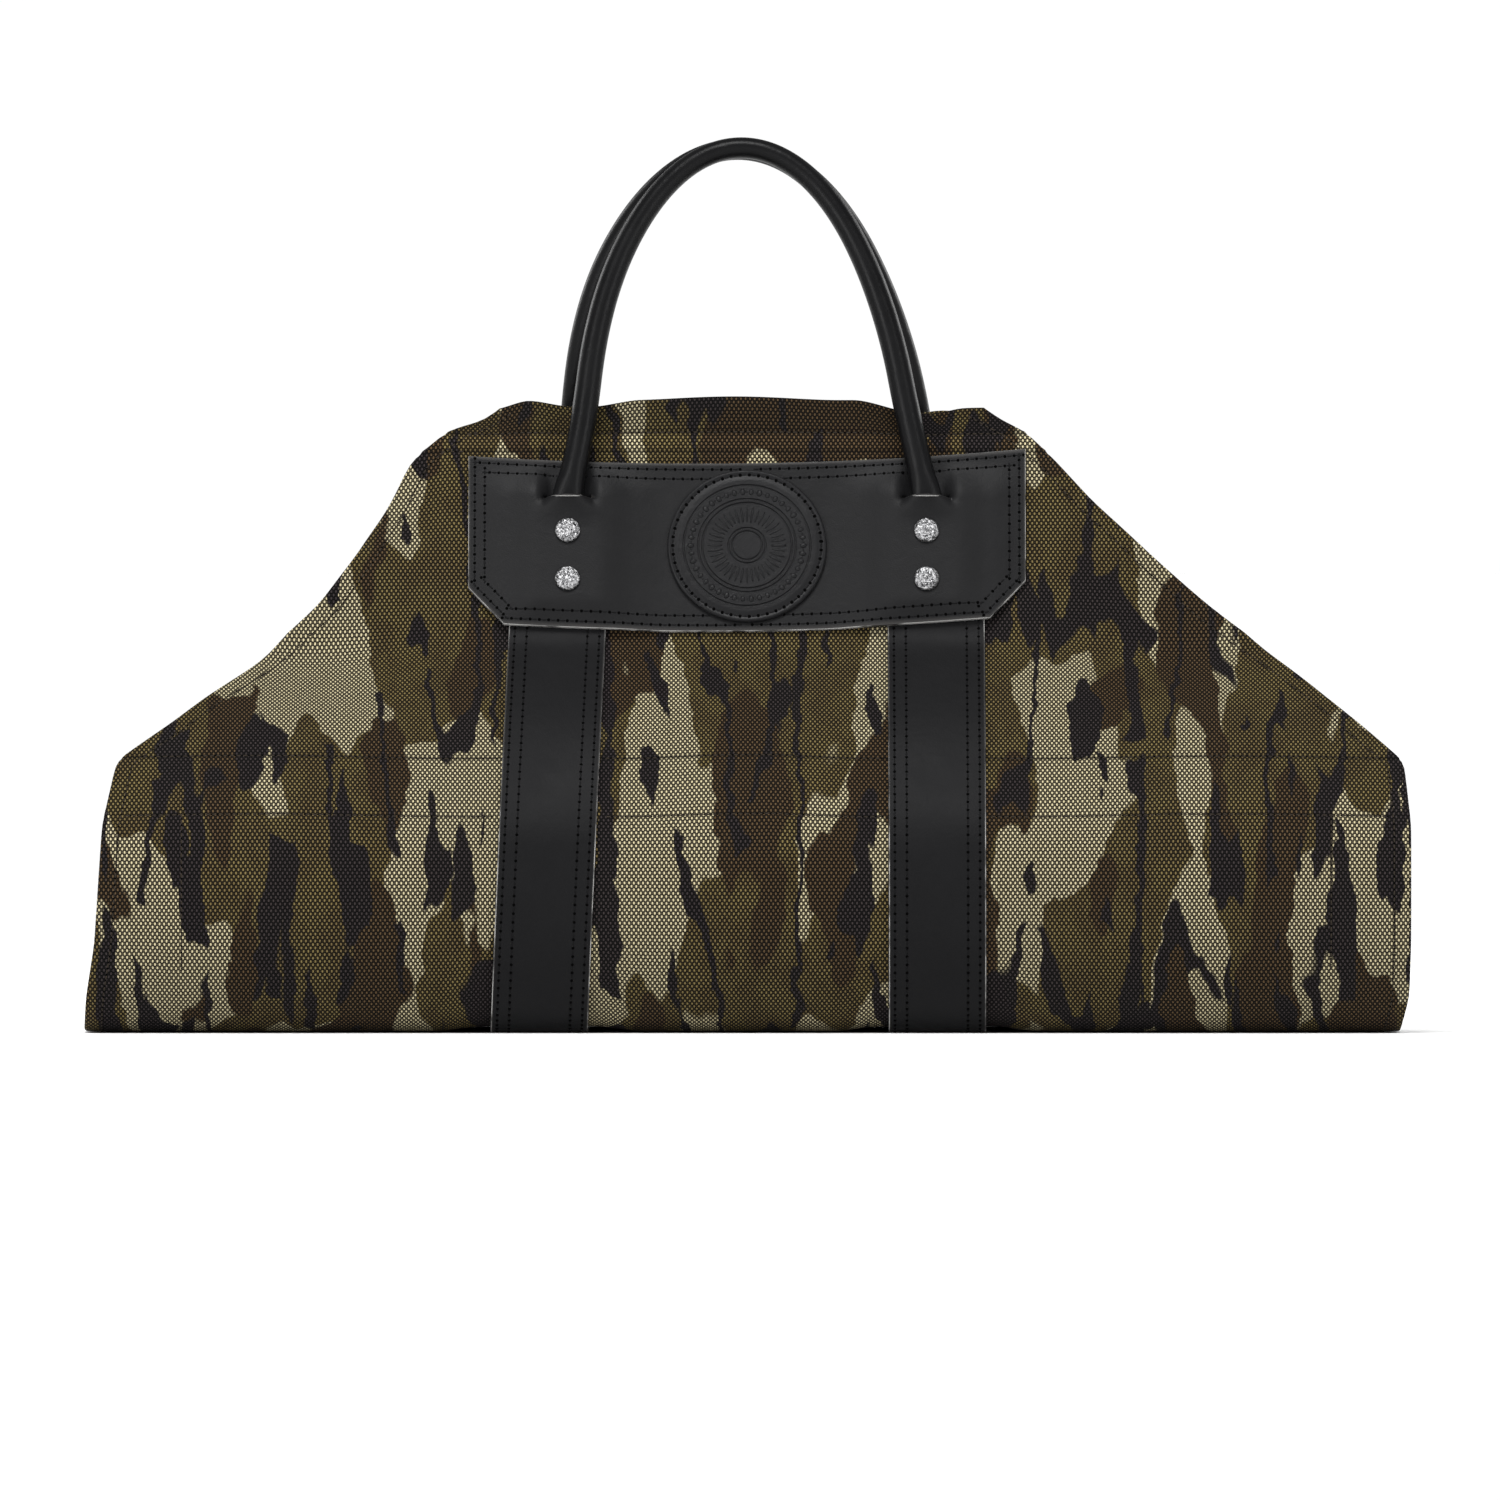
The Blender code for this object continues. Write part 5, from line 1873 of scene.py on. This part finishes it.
@dataclass
class RolledHandle:
    """Rolled handle, lofted from a flat tongue over its arch to the other tongue."""

    sling: Sling
    shape: HandleShape
    wall: Wall
    bow: float
    shift: float
    drop: float
    sides: int = 40
    arch_cells: int = 150
    root_cells: int = 44
    neck_share: float = 0.28
    leg_width: float = 1.04
    top_width: float = 0.84

    def path(self) -> list[tuple[Vector, Vector, float, float, float]]:
        """Centre, outward direction, width, thickness and squareness, left to right.

        Returns:
            The five values at each ring.
        """
        wall = float(self.wall.value)
        spacing = self.sling.slot_half_spacing
        neck = -self.shape.root[-1].below
        below = np.linspace(1.0, -neck, self.root_cells) * self.shape.tongue_length
        widths, thicks, squares = self.shape.at(below)
        runs = wall * (self.sling.slot_run - below)
        inwards = self.neck_share * self.bow * np.clip(below / below.min(), 0.0, 1.0) ** 1.3
        centres = self.sling.layer(spacing - inwards, runs, self.shape.tongue_out + thicks / 2.0)
        outs = self.sling.bare(np.full_like(runs, spacing), runs)[1]
        leg = [(Vector(centre), Vector(out), float(wide), float(thick), float(square))
               for centre, out, wide, thick, square in zip(centres, outs, widths, thicks, squares)]
        foot, outward = leg[-1][0], leg[-1][1]
        diameter = self.shape.diameter
        top = Vector((0.0, wall * (diameter + self.shape.top_gap) / 2.0,
                      self.sling.slot_height + self.shape.rise - diameter / 2.0 - self.drop))
        half_width = spacing - self.bow
        upright = Vector((0.0, wall * math.cos(self.sling.lean), math.sin(self.sling.lean)))
        arch = []
        for step in range(1, self.arch_cells):
            angle = math.pi * step / self.arch_cells
            climb, side = math.sin(angle), -math.cos(angle)
            left_over = (1.0 - self.neck_share) * self.bow
            splay = left_over * max(0.0, 1.0 - climb / self.shape.splay_end) ** 2
            lean = self.shift * float(smooth(np.array(climb / 0.7)))
            across = half_width * side + math.copysign(splay, side) + lean
            wide = diameter * mix(self.leg_width, self.top_width, climb * climb)
            level = mix(foot.z, top.z, climb) + (diameter - wide) / 2.0 * climb * climb
            centre = Vector((across, mix(foot.y, top.y, climb), level))
            arch.append((centre, outward.lerp(upright, climb).normalized(), wide, diameter, 2.0))
        left = [(Vector((-centre.x, centre.y, centre.z)), *rest) for centre, *rest in leg]
        return left + arch + leg[::-1]

    def build(self, palette: Palette) -> list[Object]:
        """Lofted handle, dressed.

        Args:
            palette: the carrier's finishes.

        Returns:
            The piece.
        """
        path = self.path()
        angles = 2.0 * np.pi * (np.arange(self.sides) + 0.5) / self.sides
        centres = np.array([spot[0] for spot in path])
        along = unit(np.gradient(centres, axis=0))
        outs = np.array([spot[1] for spot in path])
        aside = unit(np.cross(outs, along))
        level = np.cross(along, aside)
        widths, thicks, squares = (np.array([spot[index] for spot in path]) for index in (2, 3, 4))
        cos, sin = np.cos(angles)[None, :], np.sin(angles)[None, :]
        power = (2.0 / squares)[:, None]
        far = np.sign(cos) * np.abs(cos) ** power * widths[:, None] / 2.0
        high = np.sign(sin) * np.abs(sin) ** power * thicks[:, None] / 2.0
        rings = centres[:, None] + aside[:, None] * far[..., None] + level[:, None] * high[..., None]
        count = len(path)
        points = rings.reshape(-1, 3).tolist()
        faces = []
        for ring in range(count - 1):
            for corner in range(self.sides):
                following = (corner + 1) % self.sides
                faces.append((ring * self.sides + corner, ring * self.sides + following,
                              (ring + 1) * self.sides + following, (ring + 1) * self.sides + corner))
        faces.append(tuple(range(self.sides)))
        faces.append(tuple(range((count - 1) * self.sides, count * self.sides))[::-1])
        word = self.wall.name.lower()
        mesh = bpy.data.meshes.new(f"rolled_handle_{word}")
        mesh.from_pydata(points, [], faces)
        mark_unworn(mesh)
        turn_outwards(mesh)
        piece = new_piece(f"rolled_handle_{word}", mesh, palette.handle)
        soften(piece, 50.0)
        return [dress(piece, "handle_leather", f"{word}_handle")]


def seat_matrix(sling: Sling, across: float, run: float) -> Matrix:
    """Placement on the sheet whose local Z is the outward direction and local X is across.

    Args:
        sling: shape of the sheet.
        across: X of the seat.
        run: run of the seat.

    Returns:
        The placement.
    """
    point, outward = sling.bare(np.array(across), np.array(run))
    side = Vector((1.0, 0.0, 0.0))
    out = Vector(outward)
    return Matrix.Translation(Vector(point)) @ Matrix((side, out.cross(side), out)).transposed().to_4x4()


def turned(profile: Sequence[tuple[float, float]], sides: int) -> bmesh.types.BMesh:
    """Closed body turned about Z from a line of radius and level, from the top down.

    Args:
        profile: radius and level of each ring.
        sides: points in a ring.

    Returns:
        The body.
    """
    body = bmesh.new()
    rings = []
    for radius, level in profile:
        if radius <= 0.0:
            rings.append([body.verts.new((0.0, 0.0, level))])
            continue
        rings.append([body.verts.new((radius * math.cos(2.0 * math.pi * index / sides),
                                      radius * math.sin(2.0 * math.pi * index / sides), level))
                      for index in range(sides)])
    for upper, lower in zip(rings, rings[1:]):
        for index in range(sides):
            following = (index + 1) % sides
            if len(upper) == 1:
                body.faces.new((upper[0], lower[index], lower[following]))
            elif len(lower) == 1:
                body.faces.new((upper[index], lower[0], upper[following]))
            else:
                body.faces.new((upper[index], lower[index], lower[following], upper[following]))
    bmesh.ops.recalc_face_normals(body, faces=body.faces)
    return body


@dataclass
class RoundPatch:
    """Round leather patch with plain embossed rings and a stitched rim."""

    sling: Sling
    radius: float = 0.040
    thickness: float = 0.0022
    below_slot: float = 0.024
    out: float = 0.0031
    relief: float = 0.0006
    grooves: tuple[float, ...] = (0.0075, 0.0093, 0.0225, 0.0245, 0.0318)
    stitch_radius: float = 0.0372
    stitch_depth: float = 0.0003
    sides: int = 160
    beads: tuple[tuple[str, float, StitchKind], ...] = (
        ("patch_beads", 0.0282, StitchKind(0.0042, 0.0026, 0.0034, 0.0009, 0.0012)),
        ("patch_milling", 0.0160, StitchKind(0.0025, 0.0011, 0.0080, 0.0008, 0.0007)))
    stitch: StitchKind = StitchKind(0.0045, 0.0024, 0.0010, 0.0005, 0.0021)

    def profile(self) -> list[tuple[float, float]]:
        """Radius and level from the middle to the underside.

        Returns:
            The line.
        """
        top = self.out + self.thickness
        low = top - self.relief
        rings = [(0.000, top), (0.0060, top)]
        for middle in self.grooves:
            rings += [(middle - 0.00055, top), (middle - 0.00030, low), (middle + 0.00030, low),
                      (middle + 0.00055, top)]
        sunk = top - self.stitch_depth
        rings += [(0.0340, top), (0.0356, top), (0.0363, sunk), (0.0381, sunk), (0.0388, top)]
        edge = [(self.radius - 0.0006, top - 0.0002), (self.radius - 0.0001, top - 0.0007),
                (self.radius, self.out + 0.0004), (self.radius - 0.0003, self.out), (0.0, self.out)]
        return rings + edge

    def build(self, palette: Palette, stitching: Stitching) -> list[Object]:
        """Patch and its rim of stitches, dressed.

        Args:
            palette: the carrier's finishes.
            stitching: the builder of stitches.

        Returns:
            The pieces.
        """
        seat = seat_matrix(self.sling, 0.0, -self.sling.run_at(self.sling.slot_height - self.below_slot))
        body = turned(self.profile(), self.sides)
        body.transform(seat)
        mesh = bpy.data.meshes.new("embossed_patch")
        body.to_mesh(mesh)
        body.free()
        mark_unworn(mesh)
        piece = new_piece("embossed_patch", mesh, palette.patch)
        soften(piece, 24.0)
        dress(piece, "patch_leather", "round_patch")
        stitches = stitching.sew("patch_stitches", [self.ring(seat, self.stitch_radius)], self.stitch,
                                 palette.black_thread, palette.needle_hole)
        beads = [dress(stitching.sew(name, [self.ring(seat, radius)], kind, palette.patch, palette.patch),
                       "patch_leather") for name, radius, kind in self.beads]
        return [piece, dress(stitches, "patch_leather"), *beads]

    def ring(self, seat: Matrix, radius: float) -> Seam:
        """Circle of a radius on the patch's face, as a seam line.

        Args:
            seat: placement of the patch.
            radius: radius of the circle.

        Returns:
            Its points and outward directions.
        """
        turns = np.linspace(0.0, 2.0 * np.pi, 241)
        level = self.out + self.thickness - (self.stitch_depth if radius == self.stitch_radius else 0.0)
        circle = [seat @ Vector((radius * math.cos(turn), radius * math.sin(turn), level))
                  for turn in turns]
        line = np.array(circle)
        return line, np.broadcast_to(np.array(seat.to_3x3() @ Vector((0.0, 0.0, 1.0))), line.shape)


@dataclass
class RivetSet:
    """Eight hammered rivets, placed by one Geometry Nodes tree."""

    sling: Sling
    handle: HandleShape
    head_radius: float = 0.0063
    head_height: float = 0.0024
    shank_radius: float = 0.0020
    burr_radius: float = 0.0050
    burr_thickness: float = 0.0014
    head_out: float = 0.0087
    drops: tuple[float, float] = (0.350, 0.834)
    sides: int = 40
    seed: int = 11

    def rivet(self) -> Object:
        """One rivet along Z, seated on the canvas at the origin.

        Returns:
            The form, which every seat repeats.
        """
        inside = -self.sling.thickness - GAP
        dome = [(0.0, 1.0)]
        dome += [(share, 0.30 + 0.70 * math.sqrt(max(0.0, 1.0 - share**2.6)))
                 for share in (0.12, 0.24, 0.36, 0.48, 0.60, 0.72, 0.82, 0.90, 0.96, 0.99)]
        profile = [(share * self.head_radius, self.head_out + rise * self.head_height)
                   for share, rise in dome]
        profile += [(self.head_radius, self.head_out + 0.18 * self.head_height),
                    (self.head_radius, self.head_out),
                    (self.shank_radius, self.head_out), (self.shank_radius, inside)]
        burr = ((1.0, 0.0), (1.0, 0.7), (0.86, 1.0), (0.42, 1.0), (0.36, 1.25), (0.0, 1.3))
        profile += [(share * self.burr_radius, inside - level * self.burr_thickness)
                    for share, level in burr]
        body = turned(profile, self.sides)
        chance = np.random.default_rng(self.seed)
        dents = [(chance.uniform(-1, 1) * self.head_radius, chance.uniform(-1, 1) * self.head_radius,
                  chance.uniform(0.0007, 0.0014), chance.uniform(0.00010, 0.00024)) for _ in range(34)]
        for corner in body.verts:
            if corner.co.z > self.head_out + 0.3 * self.head_height:
                for x, y, reach, depth in dents:
                    away = math.hypot(corner.co.x - x, corner.co.y - y) / reach
                    corner.co.z -= depth * float(swell(np.array(away)))
        mesh = bpy.data.meshes.new("rivet_form")
        body.to_mesh(mesh)
        body.free()
        mesh.shade_smooth()
        mesh.set_sharp_from_angle(angle=math.radians(50.0))
        return new_piece("rivet_form", mesh)

    def build_tree(self) -> Tree:
        """Tree that puts the rivet on each seat, turned by its seat's directions and by chance.

        Returns:
            The tree.
        """
        group = Nodes.group("rivet_seats", {"Seats": "Geometry", "Rivet": "Object", "Seed": "Int",
                                            "Metal": "Material"}, "Rivets")
        given = group.node("NodeGroupInput").outputs
        form = group.node("GeometryNodeObjectInfo", {"Object": given["Rivet"]})
        out = group.node("GeometryNodeInputNamedAttribute", {"Name": "out"}, data_type="FLOAT_VECTOR")
        upright = group.node("FunctionNodeAlignRotationToVector",
                             {"Vector": out.outputs["Attribute"]}, axis="Z")
        chance = group.node("FunctionNodeRandomValue", {2: 0.0, 3: 2.0 * math.pi, "Seed": given["Seed"]},
                            data_type="FLOAT")
        spin = group.node("FunctionNodeAxisAngleToRotation",
                          {"Axis": (0.0, 0.0, 1.0), "Angle": chance.outputs[1]})
        turn = group.node("FunctionNodeRotateRotation", {0: upright.outputs[0], 1: spin.outputs[0]},
                          rotation_space="LOCAL")
        seats = group.node("GeometryNodeInstanceOnPoints", {
            "Points": given["Seats"], "Instance": form.outputs["Geometry"], "Rotation": turn.outputs[0]})
        real = group.node("GeometryNodeRealizeInstances", {0: seats.outputs[0]})
        metal = group.node("GeometryNodeSetMaterial",
                           {"Geometry": real.outputs[0], "Material": given["Metal"]})
        group.node("NodeGroupOutput", {"Rivets": metal.outputs[0]})
        return group.tree

    def build(self, palette: Palette) -> list[Object]:
        """All rivets in one piece, dressed.

        Args:
            palette: the carrier's finishes.

        Returns:
            The piece.
        """
        spots = [(side.value * self.sling.slot_half_spacing,
                  wall.value * (self.sling.slot_run - drop * self.handle.tongue_length))
                 for wall in (Wall.FRONT, Wall.BACK) for side in Side for drop in self.drops]
        across, run = (np.array(column) for column in zip(*spots))
        form = self.rivet()
        seats = seat_mesh("rivets", *(column.tolist() for column in self.sling.bare(across, run)))
        piece = grow(new_piece("rivets", seats), self.build_tree(),
                     {"Rivet": form, "Seed": self.seed, "Metal": palette.metal})
        bpy.data.objects.remove(form, do_unlink=True)
        nodes = [f"{word}_rivet_{number}" for word in ("front", "back") for number in range(1, 5)]
        return [dress(piece, "rivet_metal", *nodes)]


# Studio


@dataclass(frozen=True)
class SoftBox:
    """Rectangular soft light: its place and size in metres and its power in watts."""

    name: str
    place: Point
    size: tuple[float, float]
    power: float


@dataclass
class Studio:
    """Pale floor, white surroundings, soft lights and the camera."""

    floor_level: float = -0.0004
    sky_white: float = 1.02
    sky_top: float = 0.30
    sky_band: tuple[float, float] = (0.16, 0.42)
    sun_strength: float = 2.9
    sun_softness: float = 28.0
    sun_direction: Point = (0.07, 0.58, -1.0)
    distance: float = 18.0
    frame_width: float = 0.750
    aim: Point = (0.0015, -0.10, 0.141)
    elevation: float = 0.5
    sensor: float = 36.0
    lit_point: Point = (0.0, 0.0, 0.16)
    boxes: tuple[SoftBox, ...] = (
        SoftBox("left box", (-1.5, -2.1, 0.9), (0.5, 1.6), 26.0),
        SoftBox("right box", (1.7, -1.9, 0.9), (0.5, 1.6), 15.0),
        SoftBox("back left", (-1.9, 1.7, 1.2), (0.8, 1.4), 20.0),
        SoftBox("back right", (1.9, 1.7, 1.2), (0.8, 1.4), 20.0))

    def build_floor(self) -> None:
        """Wide flat floor, of one sheet."""
        points = [(x, y, self.floor_level) for y in (-60.0, 60.0) for x in (-60.0, 60.0)]
        mesh = bpy.data.meshes.new("studio_floor")
        mesh.from_pydata(points, [], [(0, 1, 3, 2)])
        new_piece("studio_floor", mesh, StudioFinish().material())

    def build_light(self, lamp: bpy.types.Light, heading: Vector) -> Object:
        """Light that shines along a heading.

        Args:
            lamp: the lamp.
            heading: the way it shines.

        Returns:
            The light, at the origin.
        """
        light = bpy.data.objects.new(lamp.name, lamp)
        bpy.context.scene.collection.objects.link(light)
        light.rotation_euler = heading.to_track_quat("-Z", "Y").to_euler()
        return light

    def build_lights(self) -> None:
        """Soft boxes round the carrier and one soft sun."""
        for box in self.boxes:
            lamp = bpy.data.lights.new(box.name, "AREA")
            lamp.shape = "RECTANGLE"
            lamp.size, lamp.size_y = box.size
            lamp.energy = box.power
            light = self.build_light(lamp, Vector(self.lit_point) - Vector(box.place))
            light.location = box.place
            light.visible_camera = False
        sun = bpy.data.lights.new("soft sun", "SUN")
        sun.energy = self.sun_strength
        sun.angle = math.radians(self.sun_softness)
        self.build_light(sun, Vector(self.sun_direction))

    def build_sky(self) -> bpy.types.World:
        """World that is white round the horizon and dimmer overhead, as in a studio.

        Returns:
            The world.
        """
        world = bpy.data.worlds.new("studio")
        world.use_nodes = True
        sky = Nodes(world.node_tree)
        direction = sky.node("ShaderNodeTexCoord").outputs["Generated"]
        level = sky.node("ShaderNodeSeparateXYZ", {0: direction}).outputs["Z"]
        low, high = self.sky_band
        fall = sky.node("ShaderNodeMapRange", {
            "Value": level, "From Min": low, "From Max": high, "To Min": self.sky_white,
            "To Max": self.sky_top}, interpolation_type="SMOOTHSTEP")
        background = sky.tree.nodes["Background"]
        sky.put(fall.outputs["Result"], background.inputs["Strength"])
        sky.put((1.0, 1.0, 1.0, 1.0), background.inputs["Color"])
        return world

    def build_camera(self) -> None:
        """Long lens that looks at the front wall from almost level."""
        lens = bpy.data.cameras.new("camera")
        lens.sensor_width = self.sensor
        lens.lens = self.sensor * self.distance / self.frame_width
        lens.clip_end = 200.0
        camera = bpy.data.objects.new("camera", lens)
        bpy.context.scene.collection.objects.link(camera)
        tilt = math.radians(self.elevation)
        away = Vector((0.0, -math.cos(tilt), math.sin(tilt)))
        camera.location = Vector(self.aim) + away * self.distance
        camera.rotation_euler = (math.pi / 2.0 - tilt, 0.0, 0.0)
        bpy.context.scene.camera = camera

    def build(self) -> None:
        """Floor, lights, world and camera."""
        self.build_floor()
        self.build_lights()
        bpy.context.scene.world = self.build_sky()
        bpy.context.scene.view_settings.view_transform = "Standard"
        self.build_camera()


def main() -> None:
    """Build every piece of the carrier in order, then the studio."""
    logging.basicConfig(level=logging.INFO, format="%(message)s")
    sling = Sling()
    shape = HandleShape()
    palette = Palette.make(sling)
    stitching = Stitching()
    for side in Side:
        LeatherStrap(sling, side).build(palette, stitching)
    CanvasCloth(sling).build(palette, stitching)
    for wall in (Wall.FRONT, Wall.BACK):
        LeatherPanel(sling, shape, wall).build(palette, stitching)
    RolledHandle(sling, shape, Wall.FRONT, bow=0.0082, shift=-0.0028, drop=0.0).build(palette)
    RolledHandle(sling, shape, Wall.BACK, bow=0.0020, shift=-0.0045, drop=0.0006).build(palette)
    RoundPatch(sling).build(palette, stitching)
    RivetSet(sling, shape).build(palette)
    Studio().build()


if __name__ == "__main__":
    main()
